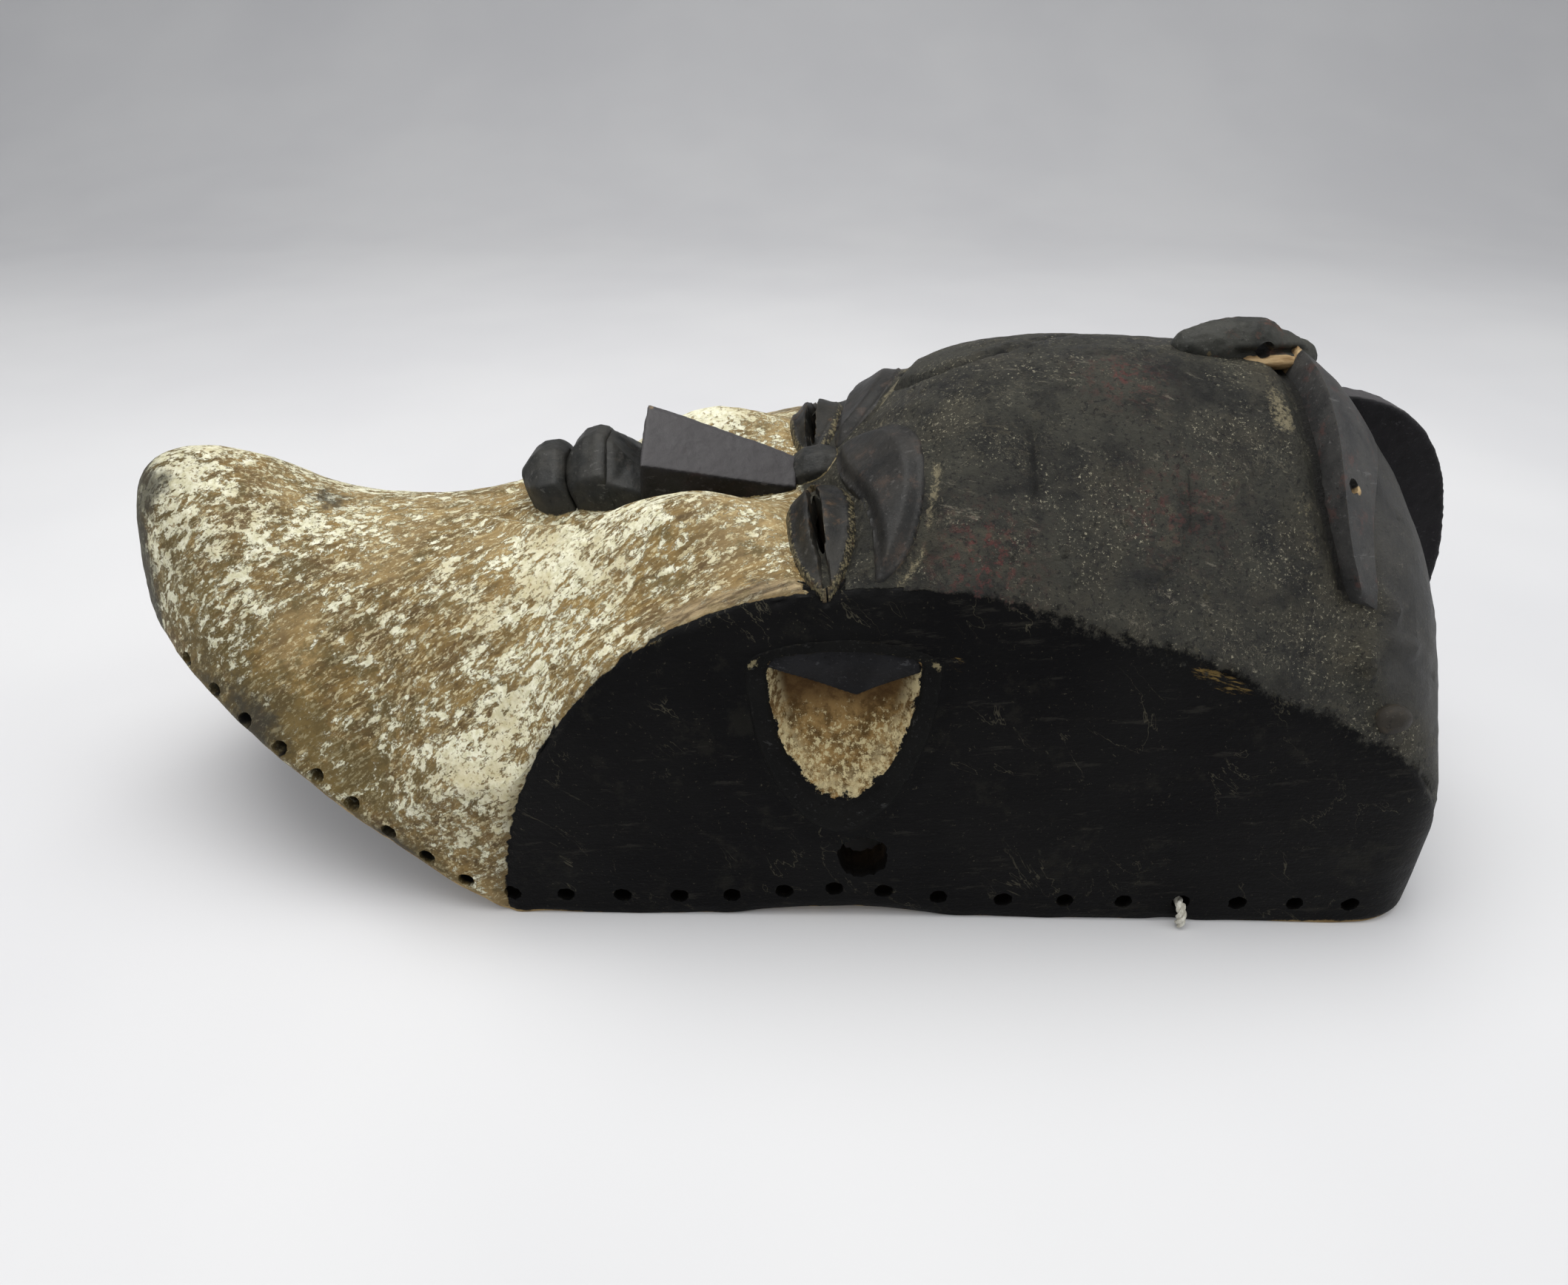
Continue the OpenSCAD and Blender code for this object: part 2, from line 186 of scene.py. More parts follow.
def pad_outline(n=24):
    """A bow from the bridge to the temple, with a nearly straight lower side."""
    a, b = np.array(PAD_FROM), np.array(PAD_TO)
    out = np.array((b[1] - a[1], a[0] - b[0])) / -np.linalg.norm(b - a)
    t = np.linspace(0, 1, n)
    upper = a + (b - a) * t[:, None] + out * (PAD_BOW * (4 * t * (1 - t)) ** 0.62)[:, None]
    lower = b + (a - b) * t[1:-1, None] + out * (1.5 * np.sin(2 * np.pi * t[1:-1]))[:, None]
    return np.vstack([upper, lower])


def rounded(points, rounds=2):
    p = np.array(points, float)
    for _ in range(rounds):
        q = np.roll(p, -1, 0)
        p = np.stack([0.75 * p + 0.25 * q, 0.25 * p + 0.75 * q], 1).reshape(-1, 2)
    return p


def outline_distance(x, y, points):
    """Distance to a closed outline, positive inside it."""
    p = np.stack([np.ravel(x), np.ravel(y)], 1)
    a, b = np.asarray(points), np.roll(points, -1, 0)
    inside = np.zeros(len(p), bool)
    best = np.full(len(p), 1e9)
    for (ax, ay), (bx, by) in zip(a, b):
        e = np.array([bx - ax, by - ay])
        t = np.clip(((p - (ax, ay)) @ e) / (e @ e), 0, 1)
        best = np.minimum(best, np.hypot(p[:, 0] - ax - t * e[0], p[:, 1] - ay - t * e[1]))
        crosses = (ay > p[:, 1]) != (by > p[:, 1])
        inside ^= crosses & (p[:, 0] < (bx - ax) * (p[:, 1] - ay) / (by - ay + 1e-12) + ax)
    return np.where(inside, best, -best).reshape(np.shape(x))


def line_distance(x, y, points):
    best = np.full(np.shape(x), 1e9)
    for (ax, ay), (bx, by) in zip(points[:-1], points[1:]):
        ex, ey = bx - ax, by - ay
        t = np.clip(((x - ax) * ex + (y - ay) * ey) / (ex * ex + ey * ey), 0, 1)
        best = np.minimum(best, np.hypot(x - ax - t * ex, y - ay - t * ey))
    return best


LID_R, PAD_R = rounded(lid_outline(), 1), rounded(pad_outline(), 1)
EAR_X, EAR_Z = 11.5, 84.0
EAR_RING = (24.5, 50.5, 7.2)        # half width, drop and rise of the raised ring round an ear hollow


def ear_field(x, z, wide=20.5, drop=42.0, rise=4.0):
    """1 in the middle of the ear hollow, 0 on its outline, negative outside."""
    across = np.abs((x - EAR_X) / wide)
    up = np.abs((z - EAR_Z) / np.where(z > EAR_Z, rise, drop))
    return 1 - (across ** 1.85 + up ** 1.85) ** (1 / 1.85)


# ---------------------------------------------------------------- mesh helpers
def new_object(name, verts, faces):
    mesh = bpy.data.meshes.new(name)
    v = np.asarray(verts, float).copy()
    v[:, 0] += MIDDLE
    mesh.from_pydata((v * MM).tolist(), [], [tuple(int(i) for i in f) for f in faces])
    mesh.validate()
    obj = bpy.data.objects.new(name, mesh)
    scene.collection.objects.link(obj)
    return obj


def carve_points(obj):
    co = np.empty(len(obj.data.vertices) * 3)
    obj.data.vertices.foreach_get("co", co)
    co = co.reshape(-1, 3) / MM
    co[:, 0] -= MIDDLE
    return co


def set_points(obj, p):
    q = np.array(p, float)
    q[:, 0] += MIDDLE
    obj.data.vertices.foreach_set("co", (q * MM).ravel())
    obj.data.update()


def normals(obj):
    n = np.empty(len(obj.data.vertices) * 3)
    obj.data.vertices.foreach_get("normal", n)
    return n.reshape(-1, 3)


def attribute(obj, name, values):
    a = obj.data.attributes.get(name) or obj.data.attributes.new(name, "FLOAT", "POINT")
    a.data.foreach_set("value", np.asarray(values, np.float32))


def apply_modifiers(obj):
    bpy.context.view_layer.update()
    mesh = bpy.data.meshes.new_from_object(obj.evaluated_get(bpy.context.evaluated_depsgraph_get()))
    old = obj.data
    obj.modifiers.clear()
    obj.data = mesh
    bpy.data.meshes.remove(old)
    mesh.name = obj.name


def shade(obj, degrees=38):
    bm = bmesh.new()
    bm.from_mesh(obj.data)
    bmesh.ops.recalc_face_normals(bm, faces=bm.faces)
    limit = math.radians(degrees)
    for f in bm.faces:
        f.smooth = True
    for e in bm.edges:
        e.smooth = not (len(e.link_faces) == 2 and e.calc_face_angle(0.0) > limit)
    bm.to_mesh(obj.data)
    bm.free()


def voxel_smooth(obj, size, passes, factor=0.5):
    m = obj.modifiers.new("remesh", "REMESH")
    m.mode = "VOXEL"
    m.voxel_size = size * MM
    m.use_smooth_shade = True
    s = obj.modifiers.new("smooth", "SMOOTH")
    s.iterations = passes
    s.factor = factor
    apply_modifiers(obj)


def roughen(obj, coarse, fine, seed, size=14.0):
    p, n = carve_points(obj), normals(obj)
    d = coarse * fbm(p, size, 3, seed) + fine * fbm(p, size / 7, 2, seed + 50)
    set_points(obj, p + n * d[:, None])


def fix_normals(obj):
    bm = bmesh.new()
    bm.from_mesh(obj.data)
    bmesh.ops.recalc_face_normals(bm, faces=bm.faces)
    bm.to_mesh(obj.data)
    bm.free()


def loft(rings):
    """Points and faces of a closed tube through rings of equal length, with both ends capped."""
    n = len(rings[0])
    verts = [p for ring in rings for p in ring]
    faces = [[q * n + k, q * n + (k + 1) % n, (q + 1) * n + (k + 1) % n, (q + 1) * n + k]
             for q in range(len(rings) - 1) for k in range(n)]
    faces += [list(range(n))[::-1], list(range(len(verts) - n, len(verts)))]
    return np.array(verts, float), faces


def joined(name, parts):
    verts, faces, first = [], [], 0
    for v, f in parts:
        verts.append(v)
        faces += [[i + first for i in q] for q in f]
        first += len(v)
    return new_object(name, np.vstack(verts), faces)


def cut_away(obj, name, parts):
    """Cut closed shapes out of a closed mesh."""
    tool = joined(name, parts)
    fix_normals(tool)
    cut = obj.modifiers.new(name, "BOOLEAN")
    cut.operation, cut.solver, cut.object = "DIFFERENCE", "MANIFOLD", tool
    apply_modifiers(obj)
    bpy.data.objects.remove(tool)


def sheet(name, top, low, keep):
    """A closed skin between two grids of points, over the cells whose corners are all kept."""
    n = keep.shape[1]
    verts = np.vstack([top.reshape(-1, 3), low.reshape(-1, 3)])
    under = keep.size
    faces, walls = [], {}
    for i, j in zip(*np.nonzero(keep[:-1, :-1] & keep[1:, :-1] & keep[1:, 1:] & keep[:-1, 1:])):
        a, b, c, d = i * n + j, (i + 1) * n + j, (i + 1) * n + j + 1, i * n + j + 1
        faces += [(a, b, c, d), (under + d, under + c, under + b, under + a)]
        for side in ((a, b), (b, c), (c, d), (d, a)):
            if side[::-1] in walls:
                del walls[side[::-1]]
            else:
                walls[side] = True
    faces += [(b, a, under + a, under + b) for a, b in walls]
    used = sorted({v for f in faces for v in f})
    back = {v: i for i, v in enumerate(used)}
    return new_object(name, verts[used], [[back[v] for v in f] for f in faces])


def finish_piece(obj, material, slot, *nodes):
    obj.data.materials.clear()
    obj.data.materials.append(material)
    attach(obj, "root")
    if nodes:
        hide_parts(*nodes)
    return obj


# ---------------------------------------------------------------- procedural materials
def lin(r, g, b):
    f = lambda c: c / 255 / 12.92 if c <= 10.3 else ((c / 255 + 0.055) / 1.055) ** 2.4
    return (f(r), f(g), f(b), 1.0)


class Paint:
    """A small wrapper round a node material; socket arguments are numbers, colours or other sockets."""

    def __init__(self, name):
        self.mat = bpy.data.materials.new(name)
        self.mat.use_nodes = True
        self.tree = self.mat.node_tree
        self.tree.nodes.clear()
        self.out = self.tree.nodes.new("ShaderNodeOutputMaterial")
        self.shader = self.tree.nodes.new("ShaderNodeBsdfPrincipled")
        self.tree.links.new(self.shader.outputs[0], self.out.inputs[0])
        self.coord = self.tree.nodes.new("ShaderNodeTexCoord").outputs["Object"]

    def put(self, socket, value):
        if isinstance(value, bpy.types.NodeSocket):
            self.tree.links.new(value, socket)
        else:
            socket.default_value = value

    def node(self, kind, inputs=(), **settings):
        n = self.tree.nodes.new(kind)
        for k, v in settings.items():
            setattr(n, k, v)
        for k, v in dict(inputs).items():
            self.put(n.inputs[k], v)
        return n

    def stretch(self, scale=(1, 1, 1), turn=(0, 0, 0), move=(0, 0, 0)):
        return self.node("ShaderNodeMapping", {"Vector": self.coord, "Scale": scale, "Location": move,
                                               "Rotation": tuple(math.radians(a) for a in turn)},
                         vector_type="TEXTURE").outputs[0]

    def noise(self, scale, detail=4.0, rough=0.55, vector=None, distort=0.0):
        inputs = {"Vector": vector or self.coord, "Scale": scale, "Detail": detail, "Roughness": rough,
                  "Distortion": distort}
        return self.node("ShaderNodeTexNoise", inputs).outputs[0]

    def field(self, name):
        return self.node("ShaderNodeAttribute", attribute_name=name).outputs["Fac"]

    def math(self, op, a, b=0.0):
        return self.node("ShaderNodeMath", {0: a, 1: b}, operation=op).outputs[0]

    def step(self, value, lo, hi):
        return self.node("ShaderNodeMapRange", {"Value": value, "From Min": lo, "From Max": hi},
                         interpolation_type="SMOOTHSTEP").outputs[0]

    def patches(self, lo, hi, *noise_settings):
        """A noise turned into patches: 0 below lo, 1 above hi."""
        return self.step(self.noise(*noise_settings), lo, hi)

    def mix(self, fac, a, b):
        return self.node("ShaderNodeMix", {0: fac, 6: a, 7: b}, data_type="RGBA").outputs[2]

    def blend(self, fac, a, b):
        return self.node("ShaderNodeMix", {0: fac, 2: a, 3: b}, data_type="FLOAT").outputs[0]

    def over(self, fac, below, above):
        """Blend one (colour, roughness, height) over another."""
        return (self.mix(fac, below[0], above[0]), self.blend(fac, below[1], above[1]),
                self.blend(fac, below[2], above[2]))

    def lines(self, value, width):
        """Thin lines where a noise crosses its middle."""
        return self.step(self.math("ABSOLUTE", self.math("SUBTRACT", value, 0.5)), width, width * 0.25)

    def total(self, *terms):
        """Sum of (value, weight) pairs."""
        out = None
        for value, weight in terms:
            part = value if weight == 1 else self.math("MULTIPLY", value, weight)
            out = part if out is None else self.math("ADD", out, part)
        return out

    def lay(self, color, rgb, *masks):
        """Lay a colour over another where the masks meet."""
        return self.mix(self.both(*masks), color, lin(*rgb))

    def both(self, *values):
        out = values[0]
        for v in values[1:]:
            out = self.math("MULTIPLY", out, v)
        return out

    def bump(self, height, distance, strength=1.0, normal=None):
        inputs = {"Height": height, "Distance": distance, "Strength": strength}
        if normal is not None:
            inputs["Normal"] = normal
        return self.node("ShaderNodeBump", inputs).outputs[0]

    def done(self, color, rough, normal, specular=0.4):
        """Finish the shader; specular is a number or a socket."""
        self.put(self.shader.inputs["Base Color"], color)
        self.put(self.shader.inputs["Roughness"], rough)
        self.put(self.shader.inputs["Normal"], normal)
        self.put(self.shader.inputs["Specular IOR Level"], specular)
        return self.mat


def face_paint(p):
    """Cream chalk flakes over brown wood: (colour, roughness, height)."""
    flow = p.stretch((2.6, 1.0, 1.0), (0, -33, 20))
    fine = p.noise(430, 8, 0.74, p.stretch((1.9, 1.0, 1.0), (0, -33, 20)), 0.25)
    patch = p.noise(150, 7, 0.7, p.stretch((1.5, 1.0, 1.0), (0, -33, 20)), 0.4)
    broad = p.noise(27, 3, 0.6)
    cover = p.total((fine, 0.54), (patch, 0.28), (broad, 0.18), (p.field("chalk"), 0.06),
                    (p.field("tan"), -0.06))
    flake = p.step(cover, 0.499, 0.508)
    thin = p.step(cover, 0.45, 0.5)
    chip = p.patches(0.575, 0.61, 760, 5, 0.72)
    speck = p.patches(0.535, 0.57, 820, 6, 0.78, flow)
    grain = p.noise(300, 6, 0.7, p.stretch((7, 1, 1), (0, -22, 14)))
    wood = p.mix(p.step(grain, 0.34, 0.66), lin(74, 58, 32), lin(134, 110, 64))
    wood = p.lay(wood, (86, 66, 40), p.patches(0.46, 0.6, 60, 5, 0.7), 0.6)
    warm = p.noise(34, 4, 0.65, p.stretch(move=(0.3, 0.2, 0.1)))
    wood = p.lay(wood, (152, 124, 72), p.step(warm, 0.5, 0.64), 0.5)
    wood = p.lay(wood, (64, 48, 28), p.patches(0.54, 0.62, 620, 5, 0.75), 0.45)
    tan = p.mix(p.step(grain, 0.3, 0.7), lin(138, 116, 76), lin(184, 161, 116))
    wood = p.mix(p.both(p.field("tan"), 0.8), wood, tan)
    chalk = p.mix(p.patches(0.3, 0.7, 520, 4, 0.65), lin(202, 197, 163), lin(233, 231, 208))
    chalk = p.lay(chalk, (186, 172, 130), p.patches(0.48, 0.66, 60, 4), 0.55)
    color = p.mix(p.both(thin, 0.36), wood, lin(172, 154, 112))
    color = p.lay(color, (208, 197, 158), speck, 0.7)
    color = p.mix(flake, color, chalk)
    color = p.lay(color, (150, 122, 80), flake, chip, 0.72)
    rim = p.both(p.step(cover, 0.488, 0.497), p.step(cover, 0.506, 0.499))
    color = p.lay(color, (84, 62, 36), rim, 0.55)
    scrape = p.noise(620, 5, 0.7, p.stretch((9, 1, 1), (0, -8, 12)))
    scraped = p.mix(p.step(scrape, 0.36, 0.62), lin(74, 60, 44), lin(158, 140, 108))
    color = p.mix(p.both(p.field("scrape"), 0.85), color, scraped)
    grime = p.total((p.noise(95, 7, 0.76, p.stretch(move=(0.7, 0.1, 0.4))), 1), (p.field("grime"), 0.16))
    bared = p.math("SUBTRACT", 1.0, p.math("MULTIPLY", flake, 0.72))
    color = p.lay(color, (84, 74, 42), p.step(grime, 0.52, 0.64), bared, 0.6)
    dark = p.step(p.total((p.field("soot"), 1), (p.noise(190, 6, 0.75), 0.95)), 0.78, 1.12)
    color = p.lay(color, (50, 48, 41), dark, 0.82)
    height = p.total((flake, 0.55), (fine, 0.55), (p.both(flake, chip), -0.35))
    return color, p.blend(flake, 0.6, 0.8), height


def forehead_paint(p):
    """Dusty dark stain with grit, pits, vein-like lines and pale specks."""
    mottled = p.noise(62, 6, 0.72)
    grit = p.noise(1150, 5, 0.78)
    color = p.mix(p.step(mottled, 0.34, 0.66), lin(20, 20, 18), lin(58, 57, 49))
    color = p.lay(color, (70, 66, 54), p.patches(0.46, 0.6, 23, 5, 0.7), 0.5)
    gritty = p.patches(0.44, 0.6, 48, 6, 0.75)
    color = p.lay(color, (172, 166, 142), p.step(grit, 0.585, 0.62), gritty, 0.9)
    crust = p.patches(0.53, 0.6, 240, 7, 0.8, p.stretch((1.8, 1, 1), (0, 0, -20)))
    color = p.lay(color, (82, 77, 62), crust, p.patches(0.45, 0.6, 36, 4), 0.5)
    pits = p.noise(700, 5, 0.75, p.stretch(move=(0.2, 0.5, 0.1)))
    color = p.lay(color, (17, 16, 15), p.step(pits, 0.55, 0.6), 0.8)
    veins = p.lines(p.noise(190, 5, 0.62, None, 0.6), 0.010)
    color = p.lay(color, (126, 120, 102), veins, p.patches(0.46, 0.62, 55, 4), 0.5)
    scratch = p.noise(330, 5, 0.75, p.stretch((6, 1, 1), (0, 0, -24)))
    color = p.lay(color, (138, 132, 116), p.step(scratch, 0.62, 0.68), 0.42)
    red = p.both(p.field("red"), p.patches(0.5, 0.62, 420, 5, 0.75))
    color = p.lay(color, (104, 46, 44), red, 0.62)
    # the crown past the band: smoother polished wood, with a painted sheen as an even lighter grey
    polish_and_sheen = p.field("polish_and_sheen")
    polish_and_sheen_color = p.mix(p.step(mottled, 0.3, 0.7), lin(44, 44, 44), lin(66, 65, 63))
    color = p.mix(p.both(polish_and_sheen, 0.8), color, polish_and_sheen_color)
    dust = p.total((p.noise(900, 6, 0.85), 0.6), (p.noise(210, 6, 0.8), 0.35), (p.field("dust"), 1))
    dust = p.step(dust, 0.88, 0.98)
    color = p.lay(color, (142, 133, 106), dust, 0.78)
    height = p.total((grit, 1.5), (veins, 0.3), (p.noise(330, 6, 0.75), 1.2))
    height = p.blend(polish_and_sheen, height, p.math("MULTIPLY", height, 0.45))
    return color, p.blend(p.step(mottled, 0.35, 0.65), 0.42, 0.62), height


def panel_paint(p):
    """Near-black stain with long fine scratches and golden rubbed streaks."""
    along = p.stretch((6, 1, 1), (0, -4, 0))
    streak = p.noise(260, 6, 0.75, along)
    cloud = p.noise(19, 4, 0.62)
    color = p.mix(p.step(cloud, 0.36, 0.68), lin(8, 8, 9), lin(15, 15, 15))
    color = p.lay(color, (58, 56, 50), p.step(streak, 0.57, 0.66), 0.3)
    color = p.lay(color, (34, 33, 28), p.patches(0.55, 0.66, 55, 6, 0.75), 0.45)
    color = p.lay(color, (104, 98, 82), p.patches(0.63, 0.7, 900, 4, 0.75), 0.32)
    nick = p.lines(p.noise(85, 5, 0.6, p.stretch((3, 1, 1), (0, 50, 0)), 0.8), 0.006)
    color = p.lay(color, (84, 80, 66), nick, p.patches(0.5, 0.6, 40, 3), 0.5)
    fibre = p.noise(640, 7, 0.8, p.stretch((7, 1, 1), (0, 12, 0)))
    rub = p.step(p.total((p.field("gold"), 1), (fibre, 0.95)), 0.88, 0.96)
    color = p.lay(color, (112, 92, 52), rub, 0.75)
    height = p.total((streak, 0.5), (p.noise(700, 3), 0.3))
    return color, p.blend(p.step(streak, 0.3, 0.7), 0.46, 0.58), height


def bare_wood(p, dark=(122, 98, 62), light=(184, 158, 112)):
    grain = p.noise(260, 6, 0.66, p.stretch((9, 1, 1), (0, 0, 4)))
    color = p.mix(p.step(grain, 0.34, 0.66), lin(*dark), lin(*light))
    return color, p.noise(420, 4, 0.65, p.stretch((5, 1, 1)))


def shell_material():
    p = Paint("chalked_wood")
    wobble = p.math("SUBTRACT", p.noise(110, 6, 0.68), 0.5)
    fray = p.math("SUBTRACT", p.noise(420, 6, 0.76), 0.5)
    front = p.total((p.field("front"), 1), (wobble, 8), (fray, 5))
    to_front = p.step(front, -1.0, 1.4)
    color, rough, height = p.over(to_front, face_paint(p), forehead_paint(p))
    # a dirty tan line stays between the pale face and the black side
    edge = p.total((p.field("edge"), 1), (wobble, 4), (fray, 3.5))
    halo = p.both(p.step(edge, 4.5, 0.4), p.step(front, 1.0, -1.0), 0.55)
    color = p.lay(color, (98, 82, 50), halo)
    to_panel = p.step(edge, 0.5, -0.4)
    color, rough, height = p.over(to_panel, (color, rough, height), panel_paint(p))
    # ear hollow: chalk over gold in the scoop, with painted shade toward its top, under the flap
    ear = p.step(p.total((p.field("ear"), 1), (fray, 0.22), (wobble, 0.3)), 0.03, 0.05)
    fleck = p.noise(620, 8, 0.8, p.stretch((1, 1, 1.2)))
    scoop = p.mix(p.patches(0.38, 0.62, 210, 6, 0.72), lin(92, 70, 38), lin(158, 128, 80))
    flecks = p.step(p.total((fleck, 1), (p.field("ear_top_shade"), -0.13)), 0.5, 0.56)
    scoop = p.lay(scoop, (208, 194, 150), flecks)
    # painted shade: dark brown laid over the upper hollow, where fewer pale flecks show
    scoop = p.lay(scoop, (72, 50, 26), p.step(p.field("ear_top_shade"), 0.15, 0.9), 0.78)
    lip = p.both(p.step(p.field("ear"), 0.26, 0.08), p.patches(0.42, 0.56, 330, 6, 0.75), 0.7)
    scoop = p.lay(scoop, (214, 200, 156), lip)
    color, rough, height = p.over(ear, (color, rough, height), (scoop, 0.76, fleck))
    # painted shade: cracks, pits and the carved groove beside the head band are painted dark
    color = p.lay(color, (18, 17, 15), p.step(p.field("crack"), 0.3, 0.8))
    # rim: bare tan wood on the worn bottom edge
    low = p.total((p.field("low"), 1), (wobble, 3.0), (fray, 2.2))
    bare = p.step(low, 1.1, 0.3)
    color, rough = p.mix(p.both(bare, 0.85), color, bare_wood(p)[0]), p.blend(bare, rough, 0.68)
    # inside: raw wood, smoke-stained
    ic, ih = bare_wood(p, (32, 25, 18), (60, 47, 32))
    ic = p.lay(ic, (24, 20, 15), p.patches(0.4, 0.66, 22, 4))
    inner = p.field("inner")
    color, rough, height = p.over(inner, (color, rough, height), (ic, 0.74, ih))
    # painted shade: the walls of the cut holes are painted near-black
    color = p.lay(color, (13, 11, 9), p.field("wall"))
    normal = p.bump(height, 0.0006, 0.85)
    normal = p.bump(p.noise(1300, 3, 0.6), 0.00014, 0.6, normal)
    sheen = p.blend(to_panel, p.blend(to_front, 0.2, 0.26), 0.07)
    return p.done(color, rough, normal, p.blend(p.math("MAXIMUM", inner, ear), sheen, 0.15))


def stained(name, dark, light, rough=(0.4, 0.55), wear=0.5, wear_color=(124, 106, 76), tint=None, seed=0.0,
            sheen=0.2):
    """Satin stain over carved wood, rubbed through on the proud edges."""
    p = Paint(name)
    here = p.stretch(move=(seed, seed * 0.7, seed * 0.3))
    cloud = p.noise(75, 5, 0.66, here)
    grit = p.noise(1000, 5, 0.76, here)
    color = p.mix(p.step(cloud, 0.33, 0.68), lin(*dark), lin(*light))
    if tint:
        color = p.lay(color, tint, p.patches(0.54, 0.66, 170, 6, 0.75, here), 0.42)
    color = p.lay(color, [min(255, c + 50) for c in light], p.step(grit, 0.58, 0.68), 0.34)
    color = p.lay(color, [c // 2 for c in dark], p.patches(0.6, 0.66, 800, 4, 0.7, here), 0.6)
    scratch = p.noise(300, 5, 0.75, p.stretch((7, 1, 1), (0, 14, 30)))
    color = p.lay(color, [min(255, c + 60) for c in light], p.step(scratch, 0.61, 0.67), 0.3)
    dust = p.step(p.total((p.field("dust"), 1), (p.noise(820, 6, 0.8), 0.95)), 0.9, 1.02)
    color = p.lay(color, (138, 128, 98), dust, 0.72)
    chalk = p.step(p.total((p.field("chalk"), 1), (p.noise(380, 7, 0.8), 0.95)), 0.95, 1.06)
    color = p.lay(color, (182, 166, 126), chalk, 0.8)
    geometry = p.node("ShaderNodeNewGeometry")
    fuzzy = p.math("MULTIPLY", p.math("SUBTRACT", p.noise(420, 6, 0.76), 0.5), 0.14)
    worn = p.step(p.total((geometry.outputs["Pointiness"], 1), (fuzzy, 1)), 0.555, 0.615)
    color = p.lay(color, wear_color, worn, wear)
    # painted light: marked upward faces are laid over with a light grey, as if lit from above
    color = p.lay(color, (74, 72, 73), p.field("painted_top_light"), 0.85)
    bare = p.step(p.total((p.field("bare"), 1), (p.noise(300, 5, 0.72), 0.8)), 0.8, 1.0)
    color = p.mix(bare, color, bare_wood(p, (120, 92, 58), (196, 170, 128))[0])
    r = p.blend(p.step(cloud, 0.3, 0.7), rough[0], rough[1])
    grain = p.noise(220, 5, 0.7, p.stretch((3, 1, 1), (0, 0, 10)))
    height = p.total((grain, 0.5), (grit, 0.6))
    return p.done(color, p.blend(bare, r, 0.66), p.bump(height, 0.00035, 0.75), sheen)


def cord_material():
    p = Paint("cotton_cord")
    fibre = p.noise(900, 4, 0.7, p.stretch((1, 1, 4)))
    color = p.mix(p.step(fibre, 0.35, 0.68), lin(176, 172, 158), lin(226, 224, 213))
    color = p.lay(color, (138, 128, 106), p.patches(0.56, 0.7, 260, 4), 0.5)
    return p.done(color, 0.9, p.bump(fibre, 0.0003, 0.8), 0.2)


# ---------------------------------------------------------------- the hollow body
TOP_ROWS, SIDE_ROWS = 56, 54
stations = np.concatenate([
    -CHIN + (CHIN - 148) * (1 - np.cos(np.radians(np.linspace(0, 90, 38)[:-1]))),
    np.arange(-148, 148, 1.3),
    148 + (CROWN - 148) * np.sin(np.radians(np.linspace(0, 90, 36)))])


def section(x, rows_top, rows_side, inset=0.0):
    """Evenly spaced points down one half of the body's cross-section at x."""
    if inset:
        xi = x * (CHIN - 1.4 * inset) / CHIN if x < 0 else x * (CROWN - inset) / CROWN
        rim = float(rim_z(xi))
        top = max(rim + 6, float(top_z(x)) - inset)
        corner = min(max(float(corner_z(x)) - inset / 2, rim + 3), rim + 1.1 * (top - rim))
        width, swell = float(plan(xi, inset)), 0.0
    else:
        xi, rim, top = x, float(rim_z(x)), float(top_z(x))
        corner, width, swell = float(corner_z(x)), float(plan(x)), 1.0
    s = np.linspace(0, 1, 260)
    y = width * lean(corner) * s
    z = top - (top - corner) * s ** DOME + swell * cheek(x, y) * (1 - s ** 6)
    zs = np.linspace(corner, rim, 91)[1:]
    y, z = np.append(y, width * lean(zs)), np.append(z, zs)
    length = np.append(0, np.cumsum(np.hypot(np.diff(y), np.diff(z))))
    at_corner = length[259]
    keep = smooth((x - (JAW - 36)) / 36)
    by_piece = np.append(np.linspace(0, at_corner, rows_top + 1),
                         np.linspace(at_corner, length[-1], rows_side + 1)[1:])
    t = (1 - keep) * np.linspace(0, length[-1], rows_top + rows_side + 1) + keep * by_piece
    return xi, np.interp(t, length, y), np.interp(t, length, z), rim


def grid(rows_top, rows_side, inset=0.0):
    rings = []
    for x in stations:
        xi, y, z, _ = section(x, rows_top, rows_side, inset)
        ys, zs = np.append(-y[:0:-1], y), np.append(z[:0:-1], z)
        rings.append(np.stack([np.full(len(ys), xi), ys, zs], 1))
    return np.array(rings)


outer = grid(TOP_ROWS, SIDE_ROWS)
along_x = np.gradient(outer, axis=0)
across = np.gradient(outer, axis=1)
outward = np.cross(along_x, across)
outward /= np.linalg.norm(outward, axis=2, keepdims=True) + 1e-12
middle = np.array([0, 0, 50.0])
if ((outer - middle) * outward).sum() < 0:
    outward = -outward

edge_x = np.concatenate([JAW + 0.02 * 1.25 ** np.arange(0, 20), np.arange(JAW + 1.6, CROWN, 0.8)])
edge_h = np.minimum(panel_z(edge_x), corner_z(edge_x))
edge_line = np.stack([edge_x, plan(edge_x) * lean(edge_h), edge_h], 1)
leg = np.arange(0, edge_h[0], 0.8)
edge_line = np.vstack([np.stack([np.full(len(leg), JAW), np.full(len(leg), 78.0), leg], 1), edge_line])


